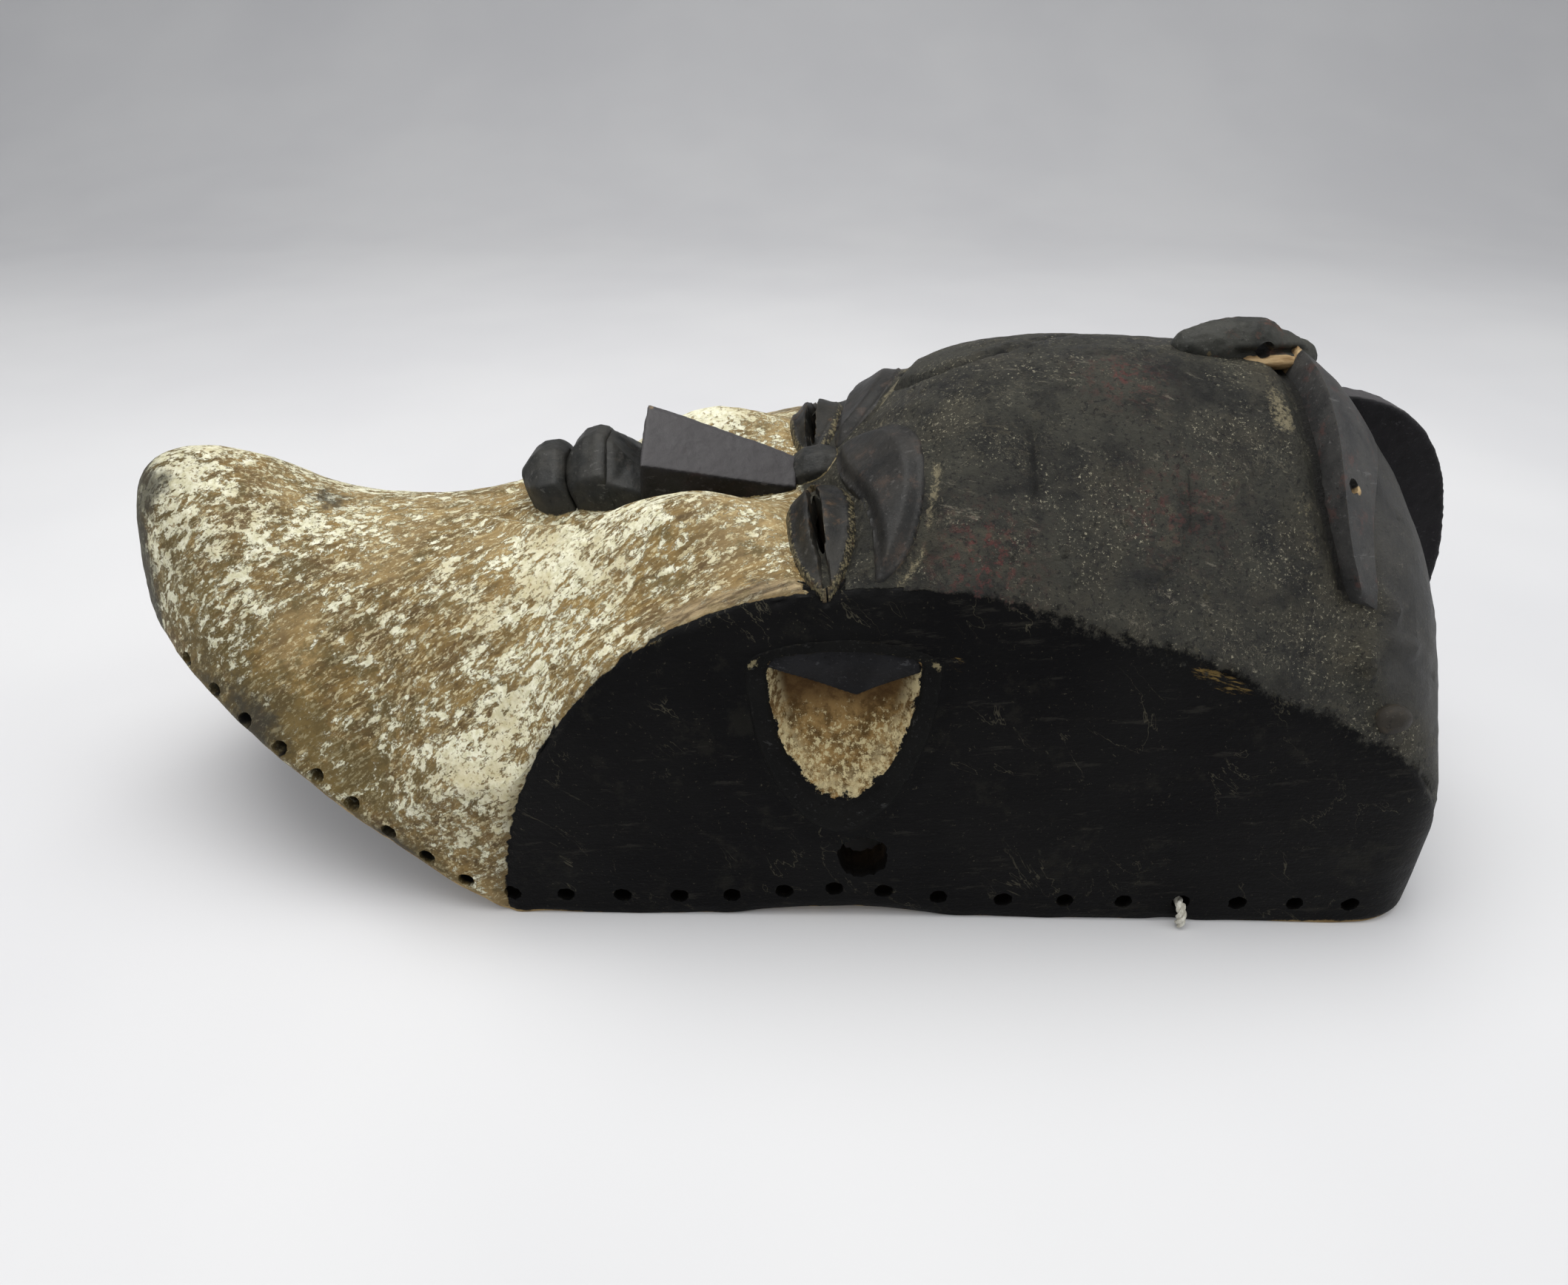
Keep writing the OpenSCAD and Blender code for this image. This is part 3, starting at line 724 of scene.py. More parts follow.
def edge_distance(p):
    """Distance to the side panel's edge, positive on the face and negative on the panel."""
    q = np.stack([p[:, 0], np.abs(p[:, 1]), p[:, 2]], 1)
    best = np.full(len(q), 1e9)
    for k in range(0, len(q), 4000):
        part = q[k:k + 4000, None, :] - edge_line[None, :, :]
        best[k:k + 4000] = np.sqrt((part ** 2).sum(2).min(1))
    cz = np.minimum(panel_z(q[:, 0]), corner_z(q[:, 0]))
    on_panel = (q[:, 0] > JAW) & (q[:, 2] < cz) & (q[:, 1] > plan(q[:, 0]) * lean(q[:, 2]) - 8.5)
    return np.where(on_panel, -best, best)


def arc(start, heading, length, turning, steps=10):
    """Points along a line that sets off at a heading and turns evenly, in degrees."""
    a = np.radians(heading + turning * np.linspace(0, 1, steps))
    step = length / steps * np.stack([np.cos(a), np.sin(a)], 1)
    return np.vstack([start, np.array(start) + np.cumsum(step, 0)])


# forehead cracks: path, half width, depth
CRACKS = [(arc((28, 10), -70, 38, 110), 1.35, 2.6), (arc((57, -2), 40, 26, -10), 0.8, 0.7),
          (arc((58, -36), -85, 16, -10), 0.8, 1.0), (arc((96, -60), 75, 16, 20), 0.75, 0.6),
          (arc((70, -30), -40, 11, 50), 0.75, 0.6), (arc((30, 22), 50, 26, -35), 0.9, 1.0)]


BAND_END = 58.0                   # half width over which the head band lies


def band_x(y):
    """The head band's line nearest the eyes."""
    return 134.0 + 7.0 * np.minimum(1, np.abs(y) / BAND_END) ** 6


def temple_lumps(count=7):
    """Seeded lumps on the wearer's left temple: (x, y, z, radius, height)."""
    rng = np.random.default_rng(11)
    x, y = 151 + 8 * rng.uniform(-1, 1, count), -64 + 6 * rng.uniform(-1, 1, count)
    return np.stack([x, y, face_z(x, y), rng.uniform(2.5, 3.8, count), rng.uniform(1.6, 2.6, count)], 1)


TEMPLE = temple_lumps()


def shell_relief(p):
    """How far each point of the skin is pushed out, and how deep it lies in a crack."""
    x, y, z = p[:, 0], p[:, 1], p[:, 2]
    edge = edge_distance(p)
    face = smooth(edge / 4 + 0.5)
    fore = smooth((x - 8) / 22)
    d = 0.5 * fbm(p, 30, 3, 3) * face + 0.2 * fbm(p, 6, 3, 9) * face
    d += (1 - face) * 0.28 * fbm(p * (0.5, 1, 1), 26, 3, 21)
    # worn and chipped panel edge
    chips = np.maximum(0, fbm(p, 7, 3, 31) - 0.15)
    d -= (0.9 + 1.6 * chips) * bell(edge, 1.7)
    # sockets round the eyelids and brow pads, and the band's groove
    ay = -np.abs(y)
    near = (np.abs(x - 15) < 40) & (edge > -3)
    lid, pad = np.full(len(x), -50.0), np.full(len(x), -50.0)
    lid[near] = outline_distance(x[near], ay[near], LID_R)
    pad[near] = outline_distance(x[near], ay[near], PAD_R)
    d -= 1.5 * bell(lid + 1.2, 1.8) * smooth((x + 6) / 8)
    d -= 0.7 * bell(lid + 1.0, 1.6)
    d -= 1.3 * bell(pad + 2.6, 2.2) * smooth((x - 14) / 8)
    groove = bell(x - band_x(y) + 1.8, 3.0) * smooth((64 - np.abs(y)) / 7) * (edge > 0)
    d -= 2.1 * groove
    # rough tool marks and small lumps on the left temple
    lumps = np.zeros(len(x))
    for cx, cy, cz, r, a in TEMPLE:
        lumps += a * np.exp(-((x - cx) ** 2 + (y - cy) ** 2 + (z - cz) ** 2) / r ** 2)
    d += lumps * (1 + 0.5 * noise(p, 3, 15))
    rough_zone = np.exp(-((x - 151) ** 2 + (y + 66) ** 2 + (z - 81) ** 2) / 15 ** 2)
    d += 0.8 * rough_zone * fbm(p, 5, 3, 17)
    # a ridge beside the lips, with a crease on its inner side
    bow = 27 - np.where(x < -50, 17 * ((x + 50) / 46) ** 2, 3 * ((x + 50) / 36) ** 2)
    along = smooth((x + 98) / 12) * smooth((-12 - x) / 16) * (edge > 4)
    d += 1.5 * bell(ay + bow, 2.8) * along
    d -= 2.2 * bell(ay + bow - 5, 1.9) * along * smooth((-40 - x) / 8)
    # cracks and pits in the forehead
    crack = np.zeros(len(x))
    for line, width, depth in CRACKS:
        r = line_distance(x + 0.5 * noise(p, 3, 5), y + 0.5 * noise(p, 3, 6), line)
        w = bell(r, width) * (edge > 2) * (z > 60)
        d -= depth * w
        crack = np.maximum(crack, w * min(1, depth))
    pit = np.maximum(0, noise(p * (1, 1.3, 1.3), 2.6, 41) - 0.66) * 3 * fore * face
    d -= 0.8 * pit
    crack = np.maximum(crack, np.clip(pit * 1.1 - 0.25, 0, 0.7))
    # small knocks on the chin
    chin = smooth((-70 - x) / 30)
    d -= 0.5 * chin * face * np.maximum(0, fbm(p, 4.5, 2, 61) - 0.45)
    # ear hollows on both sides
    side = (np.abs(y) > 60) & (edge < 2)
    e = np.where(side, ear_field(x, z), -9)
    scoop = smooth(e / 0.24) * (1.4 + 4.6 * smooth((z - 43) / 30)) + 0.35 * fbm(p, 5, 3, 63)
    fold = 1.3 * bell(x - 15.5, 2.6) * smooth((z - 50) / 10) * smooth(e / 0.3)
    d -= np.where(e > 0, scoop - fold, 0)
    ring_e = np.where(side, ear_field(x, z, 27, 54, 9), -9)
    d -= 0.5 * bell(ring_e - 0.02, 0.05)
    # the rim's outer edge is rubbed round
    low = z - rim_z(x)
    d -= 0.8 * bell(low, 1.5) * (1 + 0.6 * noise(p, 9, 71))
    return d, crack


flat = outer.reshape(-1, 3)
depth, _ = shell_relief(flat)
outer = (flat + outward.reshape(-1, 3) * depth[:, None]).reshape(outer.shape)
# the body's own box is kept: relief never goes past its ends or its sides
outer[..., 0] = np.clip(outer[..., 0], -CHIN, CROWN)
outer[..., 1] = np.clip(outer[..., 1], -HALF, HALF)
outer[..., 2] = np.maximum(outer[..., 2], 0.0)

inner_grid = grid(15, 14, WALL)
flat = inner_grid.reshape(-1, 3)
inner_grid = (flat + np.stack([np.zeros(len(flat)), 0.5 * noise(flat, 16, 81), 0.9 * fbm(flat, 22, 2, 83)], 1)
              * smooth((flat[:, 2:] - rim_z(flat[:, :1])) / 12)).reshape(inner_grid.shape)


def build_shell():
    m, n = outer.shape[:2]
    k = inner_grid.shape[1]
    verts = [outer.reshape(-1, 3), inner_grid.reshape(-1, 3)]
    base = m * n
    faces = []

    def quads(start, columns, flip):
        a = (start + np.arange(m - 1)[:, None] * columns + np.arange(columns - 1)[None, :]).ravel()
        q = np.stack([a, a + 1, a + columns + 1, a + columns], 1)
        faces.extend((q[:, ::-1] if flip else q).tolist())

    quads(0, n, False)
    quads(base, k, True)
    # rim: rows between the outer and the inner bottom edge, rounded at both sides
    total = base + m * k
    for col_out, col_in, flip in ((0, 0, True), (n - 1, k - 1, False)):
        rows = [np.arange(m) * n + col_out]
        a, b = outer[:, col_out], inner_grid[:, col_in]
        for t, drop in ((0.12, 0.75), (0.3, 1.0), (0.5, 1.0), (0.72, 0.9), (0.9, 0.45)):
            line = a * (1 - t) + b * t
            line[:, 2] = line[:, 2] - 0.5 * drop + 0.25 * noise(line, 7, 91)
            line[:, 2] = np.maximum(line[:, 2], 0.0)
            rows.append(total + np.arange(m))
            verts.append(line)
            total += m
        rows.append(base + np.arange(m) * k + col_in)
        for r, s in zip(rows[:-1], rows[1:]):
            q = np.stack([r[:-1], r[1:], s[1:], s[:-1]], 1)
            faces.extend((q[:, ::-1] if flip else q).tolist())
        if col_out == 0:
            left = rows
    right = rows
    for i, flip in ((0, False), (m - 1, True)):
        out_ring = [i * n + j for j in range(n)]
        in_ring = [base + i * k + j for j in range(k)]
        left_rim = [int(r[i]) for r in left[1:-1]]
        right_rim = [int(r[i]) for r in right[1:-1]]
        # the end faces: outer ring, down the right rim, back along the inner ring and up the left rim
        half_o, half_i = n // 2, k // 2
        strip = []
        for j in range(half_o):
            strip.append([out_ring[j], out_ring[j + 1], out_ring[n - 2 - j], out_ring[n - 1 - j]])
        for j in range(half_i):
            strip.append([in_ring[k - 1 - j], in_ring[k - 2 - j], in_ring[j + 1], in_ring[j]])
        ladder_l = [out_ring[0]] + left_rim + [in_ring[0]]
        ladder_r = [out_ring[-1]] + right_rim + [in_ring[-1]]
        for a, b, c, d in zip(ladder_l[:-1], ladder_l[1:], ladder_r[1:], ladder_r[:-1]):
            strip.append([a, d, c, b])
        for q in strip:
            q = [v for at, v in enumerate(q) if v not in q[:at]]
            faces.append(q[::-1] if flip else q)
    return new_object("shell", np.vstack(verts), faces), base


shell, outer_count = build_shell()


def lace_x(k):
    """Place of one of the 16 lacing holes on the flat rim."""
    return -82 + 16 * k - (5 * math.sin(math.radians(180 * (k - 4) / 7)) ** 2 if 4 < k < 11 else 0)


def holes():
    """Lacing holes, strap holes and eye slits, as closed shapes to cut away."""
    rng = np.random.default_rng(7)

    def tube(start, end, r0, r1, sides=22, squash=(1.0, 1.0)):
        start, end = np.array(start, float), np.array(end, float)
        axis = (end - start) / np.linalg.norm(end - start)
        u = np.cross(axis, (0, 0, 1.0))
        u /= np.linalg.norm(u)
        v = np.cross(u, axis)
        uneven = rng.uniform(0.93, 1.07, (sides, 1))
        turn = 2 * np.pi * np.arange(sides)[:, None] / sides
        spoke = (u * np.cos(turn) * squash[0] + v * np.sin(turn) * squash[1]) * uneven
        rings = []
        for t, flare in ((0, 0.25), (0.25, 0.05), (0.5, 0), (0.75, 0), (1, 0)):
            rings.append(start + (end - start) * t + spoke * (r0 * (1 - t) + r1 * t + flare))
        return loft(rings)

    out = []
    for sgn in (-1, 1):
        for k in range(16):
            x = lace_x(k) + rng.uniform(-0.5, 0.5) * (0 < k < 15) * (k != 12)
            z = float(rim_z(np.array(x))) + 7.5
            squash = (1.0 + rng.uniform(-0.04, 0.06), 0.97)
            out.append(tube((x, sgn * 80.5, z), (x, sgn * 63, z + 0.4), 2.4, 2.3, squash=squash))
        for k in range(9):
            x = -95 - 87 * k / 8
            y, z = float(plan(np.array(x))), float(rim_z(np.array(x))) + 4.5
            t = math.atan((float(plan(np.array(x + 1.0))) - float(plan(np.array(x - 1.0)))) / 2)
            dx, dy = -math.sin(t), sgn * math.cos(t)
            out.append(tube((x + dx * 3, sgn * y + dy * 3, z), (x - dx * 16, sgn * y - dy * 16, z + 0.8),
                            2.3, 2.2, squash=(1.05, 0.98)))
        out.append(tube((18.5, sgn * 81, 23), (18.5, sgn * 62, 23.3), 7.1, 6.7, 40))
    # eye slits, as slim lenses that widen toward the inside
    turn = 2 * np.pi * np.arange(24) / 24
    for sgn in (-1, 1):
        along = 17.0 * np.cos(turn)
        rings = []
        for z, grow in ((126, 1.0), (118, 1.0), (103, 0.95), (90, 1.25), (78, 1.6)):
            across = 1.8 * grow * np.sin(turn) * (1 - 0.25 * np.abs(np.cos(turn)))
            x = EYE_X + across + SLIT_LEAN * along
            rings.append(np.stack([x, sgn * (SLIT_Y + along), np.full(24, float(z))], 1))
        out.append(loft(rings))
    return out


tree = KDTree(len(shell.data.vertices))
kind = np.zeros(len(shell.data.vertices))
kind[outer_count:outer_count + inner_grid.shape[0] * inner_grid.shape[1]] = 1.0
for i, v in enumerate(shell.data.vertices):
    tree.insert(v.co, i)
tree.balance()

fix_normals(shell)
cut_away(shell, "holes", holes())
shade(shell, 42)

skin = carve_points(shell)
skin_x, skin_y, skin_z = skin.T
found = [tree.find(v.co) for v in shell.data.vertices]
inner_mark = kind[np.array([f[1] for f in found])]
# painted shade for the walls of the cut holes
attribute(shell, "wall", smooth((np.array([f[2] for f in found]) / MM - 0.85) / 0.6) * (inner_mark < 0.5))
edge = edge_distance(skin)
edge[inner_mark > 0.5] = -20
attribute(shell, "inner", inner_mark)
soft = smooth((skin_x - 28) / 36)
attribute(shell, "edge", np.where(edge > -15, edge / (1 + 3.2 * soft), edge))
off_middle = np.abs(skin_y)
attribute(shell, "front", skin_x - (1.0 + 3.5 * smooth((off_middle - 56) / 14) - 2.5 * bell(off_middle, 9)))
ends = np.maximum(smooth((-52 - skin_x) / 20), smooth((skin_x - 118) / 40))
attribute(shell, "low", skin_z - rim_z(skin_x) + 0.9 * (1 - ends))
on_side = (off_middle > 58) & (edge < 3)
ear = np.where(on_side, ear_field(skin_x, skin_z), -1)
attribute(shell, "ear", ear)
# painted shade for the ear hollow, growing toward its top
attribute(shell, "ear_top_shade", smooth((skin_z - 58) / 22) * (ear > 0))
crack = shell_relief(skin)[1]
past_band = skin_x - band_x(skin_y)
# painted shade in the groove beside the head band
border = 0.75 * bell(past_band + 1.0, 2.6) * smooth((63 - off_middle) / 6) * smooth((skin_z - 70) / 8)
attribute(shell, "crack", np.maximum(crack, border) * (inner_mark < 0.5))


def spots(points):
    out = np.zeros(len(skin))
    for x, y, z, r, a in points:
        out += a * np.exp(-(((skin_x - x) ** 2 + (skin_y - y) ** 2 + (skin_z - z) ** 2) / r ** 2))
    return out


low = skin_z - rim_z(skin_x)
chinward = smooth((-86 - skin_x) / 30)
ragged = 1 + 0.9 * noise(skin, 17, 201)
attribute(shell, "soot", ragged * (1.05 * bell(skin_x + CHIN, 13)
                                   + 0.40 * chinward * bell(low, 22))
          + spots([(-145, 0, 95, 12, 0.55), (-185, -10, 105, 9, 0.4), (-10, -60, 100, 12, 0.45),
                   (-60, -62, 90, 9, 0.35)]))
attribute(shell, "chalk", 0.55 * noise(skin, 42, 205)
          + 0.7 * bell(skin_x + 45, 45) * bell(off_middle - 34, 15)
          - 0.35 * chinward * bell(low, 26)
          - 0.55 * bell(skin_x + 95, 24) * bell(low, 45)
          + 0.5 * bell(skin_x + 188, 20) * smooth((skin_z - 92) / 12))
tan = (0.95 * bell(skin_x + 9, 17) * bell(off_middle - 36, 18)
       + 0.7 * bell(skin_x + 82, 17) * bell(off_middle - 22, 9)
       + 0.5 * smooth(noise(skin, 24, 207) * 1.6 - 0.3))
attribute(shell, "tan", np.clip(tan, 0, 1))
scraped = 1.3 * bell(edge - 5, 3.5) * smooth((skin_x + 42) / 14) * smooth((6 - skin_x) / 6)
attribute(shell, "scrape", np.clip(scraped * (inner_mark < 0.5), 0, 1))
attribute(shell, "red", spots([(85, -20, 140, 9, 0.9), (45, -65, 110, 11, 1.1), (95, -55, 120, 12, 0.7)]))
pad_in = outline_distance(skin_x, -off_middle, PAD_R)
above = (edge > -2) & (skin_z > 60)
dusty = 0.75 + 0.5 * noise(skin, 9, 191)
dust = (0.56 * bell(pad_in + 3.2, 2.6) * smooth((skin_x - 16) / 8)
        + 0.42 * bell(pad_in + 1.5, 3.0) * smooth((20 - skin_x) / 6)
        + 0.54 * bell(past_band + 9, 6.0) * smooth((66 - off_middle) / 14)
        + 0.26 * bell(skin_x - 112, 18) * smooth((off_middle - 20) / 30)
        + 0.16 * bell(edge - 7, 7) * smooth((skin_x - 30) / 20))
attribute(shell, "dust", above * np.minimum(0.47, dusty * dust))
# polished crown past the band, where the painted sheen is laid
attribute(shell, "polish_and_sheen", above * smooth((past_band - 5) / 8) * smooth((edge - 6) / 10))
rubbed = bell(edge + 2.5, 2.5) * (off_middle > 55)
gold = (0.45 * rubbed * bell(skin_x - 105, 9)
        + 0.24 * rubbed * smooth(noise(skin, 13, 211) * 2)
        + 0.36 * (off_middle > 60) * bell(skin_x - 40, 5) * bell(skin_z - 84, 9)
        + 0.30 * bell(skin_x - 151, 7) * bell(skin_y + 66, 7))
attribute(shell, "gold", np.minimum(0.43, gold))
attribute(shell, "grime", np.clip(chinward * bell(low, 40) + 0.8 * smooth((-165 - skin_x) / 25), 0, 1))
shell_paint = shell_material()
finish_piece(shell, shell_paint, "chalked_wood", "mask_shell")


# ---------------------------------------------------------------- carved features laid on the surface
def raised_patch(name, height, x0, x1, y0, y1, step, side=0, under=5.0, least=-3.4):
    """A closed skin over the face (or a side panel) wherever height(x, y) is above `least`."""
    xs, ys = np.arange(x0, x1 + step, step), np.arange(y0, y1 + step, step)
    gx, gy = np.meshgrid(xs, ys, indexing="ij")
    h = height(gx, gy)
    if side:
        base = plan(gx) * lean(gy)
        top = np.stack([gx, side * (base + h), gy], 2)
        low = np.stack([gx, side * (base - under), gy], 2)
    else:
        # along the surface normal, so that a rise stays even where the face turns down
        e = 0.3
        z = face_z(gx, gy)
        nx = -(face_z(gx + e, gy) - face_z(gx - e, gy)) / (2 * e)
        ny = -(face_z(gx, gy + e) - face_z(gx, gy - e)) / (2 * e)
        n = np.stack([nx, ny, np.ones_like(nx)], 2)
        n /= np.linalg.norm(n, axis=2, keepdims=True)
        base = np.stack([gx, gy, z], 2)
        top, low = base + n * h[..., None], base - n * under
    obj = sheet(name, top, low, h > least)
    shade(obj, 50)
    return obj


def lid_height(upper):
    def f(x, y):
        ay = -np.abs(y)
        d = outline_distance(x, ay, LID_R)
        s = x - (EYE_X + SLIT_LEAN * (-ay - SLIT_Y))    # across the eye, 0 on the slit's line
        along = np.clip(1 - ((-ay - 38.5) / 21) ** 2, 0, 1)
        bulge = 1.0 + 4.0 * smooth(d / 4.6) * (0.35 + 0.65 * along)
        s = s if upper else -s
        gap = 1.15 * np.sqrt(np.clip(1 - ((-ay - SLIT_Y) / 17.2) ** 2, 0, 1))
        lip = smooth((s - gap + 0.9) / 2.4)
        h = bulge * lip - 6 * (1 - lip) + 0.18 * fbm(level(x, y), 5, 3, 101)
        h = np.where(d < 0, 1.0 - 5.5 * smooth(-d / 2.2), h)
        return np.where(s < -0.05, -9, h)
    return f


def pad_height(x, y):
    ay = -np.abs(y)
    d = outline_distance(x, ay, PAD_R)
    h = 0.2 + 2.6 * smooth(d / 3.6) - 0.5 * smooth((d - 5) / 8)
    h += 0.25 * fbm(level(x, y), 9, 3, 111)
    return np.where(d < 0, 0.4 - 4.8 * smooth(-d / 2.2), h)


def depth_inside(obj, outline):
    """How far each point of a piece lies inside an outline drawn on the wearer's left."""
    points = carve_points(obj)
    return outline_distance(points[:, 0], -np.abs(points[:, 1]), outline)


lid_paint = stained("eyelid_stain", (21, 21, 20), (45, 43, 38), (0.42, 0.56), 0.35,
                    tint=(98, 74, 50), seed=0.31)
pad_paint = stained("brow_stain", (26, 26, 25), (46, 44, 41), (0.38, 0.5), 0.3,
                    tint=(78, 62, 52), seed=0.53)

for side_name, sgn in (("left", -1), ("right", 1)):
    lo, hi = (-73, -10) if sgn < 0 else (10, 73)
    for part, upper in (("lower", False), ("upper", True)):
        lid = raised_patch(f"{side_name}_{part}_lid", lid_height(upper), -6, 16, lo, hi, 0.5)
        d = depth_inside(lid, LID_R)
        attribute(lid, "chalk", 0.5 * smooth((0.8 - d) / 1.6) * (0.8 if part == "lower" else 0.45))
        attribute(lid, "dust", 0.36 * smooth((1.2 - d) / 1.5) + 0.1)
        finish_piece(lid, lid_paint, "grey_wood", f"{side_name}_{part}_eyelid")
    pad = raised_patch(f"{side_name}_pad", pad_height, 6, 36, *((-72, 1) if sgn < 0 else (-1, 72)), 0.6)
    d = depth_inside(pad, PAD_R)
    attribute(pad, "dust", 0.34 * smooth((0.6 - d) / 1.4) + 0.06)
    finish_piece(pad, pad_paint, "grey_wood", f"{side_name}_brow_pad")


def ring_height(x, z):
    border = np.minimum(ear_field(x, z, *EAR_RING) * 22, -ear_field(x, z) * 20)
    h = 0.9 - 0.5 * smooth((z - 82) / 4) - 6.0 * smooth((0.4 - border) / 3.4)
    return np.where(border > -2.9, h, -9) + 0.15 * noise(level(x, z), 5, 121)


FLAP = [(EAR_X + a, EAR_Z + b) for a, b in ((-19.5, -1), (-16, 6), (17, 6), (19.5, -2), (3.5, -10))]


def flap_height(x, z):
    d = outline_distance(x, z, FLAP)
    h = -3.0 + 2.4 * smooth((z - 76) / 9) + 0.3 * noise(level(x, z), 6, 131)
    return np.where(d > 0, h, np.where(d > -1.2, h - 3 * smooth(-d / 1.2), -30))


ring_paint = stained("ear_stain", (10, 10, 10), (19, 19, 18), (0.5, 0.62), 0.3, (70, 64, 48),
                     seed=0.77, sheen=0.07)
flap_paint = stained("flap_stain", (17, 17, 19), (34, 34, 36), (0.5, 0.62), 0.4, seed=0.91, sheen=0.1)
for side_name, sgn in (("left", -1), ("right", 1)):
    ring = raised_patch(f"{side_name}_ear_rim", ring_height, -16, 39, 30, 94, 0.6, sgn, 6.5, -4.6)
    x, _, z = carve_points(ring).T
    attribute(ring, "dust", 0.40 * bell(ear_field(x, z) + 0.10, 0.12) * smooth((z - 82) / 3)
              + 0.32 * bell(ear_field(x, z, *EAR_RING) - 0.03, 0.04))
    finish_piece(ring, ring_paint, "black_wood", f"{side_name}_ear_ring")
    xs, zs = np.meshgrid(np.arange(-10, 32, 0.6), np.arange(63, 90, 0.6), indexing="ij")
    h = flap_height(xs, zs)
    base = plan(xs) * lean(zs)
    flap = sheet(f"{side_name}_flap", np.stack([xs, sgn * (base + h), zs], 2),
                 np.stack([xs, sgn * (base - 7.5), zs], 2), h > -8)
    shade(flap, 50)
    attribute(flap, "chalk", 0.35 * smooth((78 - carve_points(flap)[:, 2]) / 5))
    finish_piece(flap, flap_paint, "grey_wood", f"{side_name}_ear_flap")


# ---------------------------------------------------------------- lips, nose, bridge: rounded carved blocks
def gable(x, top, shoulder, half, flat, base=90):
    """One cross-section of a block: upright sides, sloping shoulders and a flat top."""
    side = [(x, -half, base), (x, -half, shoulder), (x, -flat, top)]
    return side + [(x, -y, z) for x, y, z in side[::-1]]


def block(name, sections, voxel=0.55, passes=4, sweep=0.0, knee=106.0):
    obj = new_object(name, *loft(sections))
    fix_normals(obj)
    voxel_smooth(obj, voxel, passes)
    if sweep:                         # the ends of the lips draw back toward the corners of the mouth
        p = carve_points(obj)
        p[:, 0] += sweep * np.maximum(0, knee - p[:, 2]) + 0.10 * np.maximum(0, np.abs(p[:, 1]) - 4)
        set_points(obj, p)
    return obj


lip_paint = stained("lip_stain", (29, 30, 29), (54, 53, 49), (0.36, 0.5), 0.35, (120, 108, 84),
                    (58, 52, 46), seed=0.17)
# the nose's stain is dark as for its shaded sides; painted light goes on its upward faces
nose_paint = stained("nose_stain", (18, 17, 17), (34, 31, 31), (0.38, 0.5), 0.4, (104, 94, 78),
                     (52, 38, 38), seed=0.23)

lower = block("lower_lip_carved", [
    gable(-83, 107, 102, 8.5, 5.5), gable(-80, 111, 104.5, 12, 5), gable(-77, 113, 106, 14, 4.5),
    gable(-72, 113.6, 107, 14.3, 4.5), gable(-69.4, 111.5, 105, 13.4, 4.5)], 0.7, 9, 0.34)
upper_lip = block("upper_lip_carved", [
    gable(-69.9, 108.5, 104, 12.8, 4.5), gable(-67, 113.6, 106.5, 14.2, 4.5), gable(-64, 117, 109, 15.6, 4.2),
    gable(-59.5, 118.5, 110.5, 16.6, 4), gable(-56.6, 117.8, 109.5, 16.2, 4)], 0.7, 8, 0.34, 108)
groove_lip = block("philtrum_carved", [
    gable(-62, 117.6, 109, 15.8, 4.2), gable(-55, 116, 108, 16.4, 4.4), gable(-49.5, 110.6, 106.4, 16.6, 5.5),
    gable(-43.4, 107, 104.4, 16.2, 8)], 0.7, 8, 0.1)
nose = block("nose_carved", [
    gable(-44.9, 126, 116, 21, 1.0, 92), gable(-44.2, 126.2, 116.2, 21.1, 1.0, 92),
    gable(-22, 118.2, 110.4, 15.4, 1.0, 92), gable(-1.3, 110.6, 105.2, 10, 1.2, 92)], 0.5, 3)
bridge = block("bridge_carved", [
    gable(-2.2, 109.5, 106, 6.2, 3.2), gable(1, 112, 108, 7.2, 3.2), gable(6, 113.2, 109, 7.6, 3),
    gable(11, 112, 108.5, 6.4, 3)], 0.5, 16)
# the smoothing draws these in a little, so they are grown back
for obj, widen, rise in ((lower, 1.06, 0.7), (upper_lip, 1.05, 0.8), (groove_lip, 1.04, 0.6),
                         (bridge, 1.08, 0.6)):
    set_points(obj, carve_points(obj) * (1, widen, 1) + (0, 0, rise))
for obj, seed in ((lower, 141), (upper_lip, 143), (groove_lip, 145), (nose, 147), (bridge, 149)):
    roughen(obj, 0.28, 0.08, seed, 12)
    shade(obj, 60)
    q = carve_points(obj)
    q = q[:, 2] - face_z(q[:, 0], q[:, 1])
    attribute(obj, "chalk", 0.62 * smooth((1.8 - q) / 2.2))
nose_at = carve_points(nose)
# painted light on the nose's upward faces, from their normals
attribute(nose, "painted_top_light", 0.9 * smooth((normals(nose)[:, 2] - 0.45) / 0.25))
attribute(nose, "bare", 0.42 * bell(nose_at[:, 2] - 126, 1.0) * bell(nose_at[:, 0] + 44, 3))
finish_piece(lower, lip_paint, "grey_wood", "lower_lip")
finish_piece(upper_lip, lip_paint, "grey_wood", "upper_lip")
finish_piece(groove_lip, lip_paint, "grey_wood", "philtrum")
finish_piece(nose, nose_paint, "grey_wood", "nose")
finish_piece(bridge, lip_paint, "grey_wood", "nose_bridge")


# ---------------------------------------------------------------- head band
def skin_point(x, s):
    """A point and its outward normal on the face at station x and share s of the half width (-1 to 1)."""
    def at(xx, ss):
        y = ss * plan(xx) * lean(corner_z(xx))
        return np.stack([xx, y, face_z(xx, y)], -1)
    p = at(x, s)
    a, b = at(x + 0.5, s) - at(x - 0.5, s), at(x, s + 0.01) - at(x, s - 0.01)
    n = np.cross(a, b)
    n /= np.linalg.norm(n, axis=-1, keepdims=True)
    return p, np.where(n[..., 2:] < 0, -n, n)


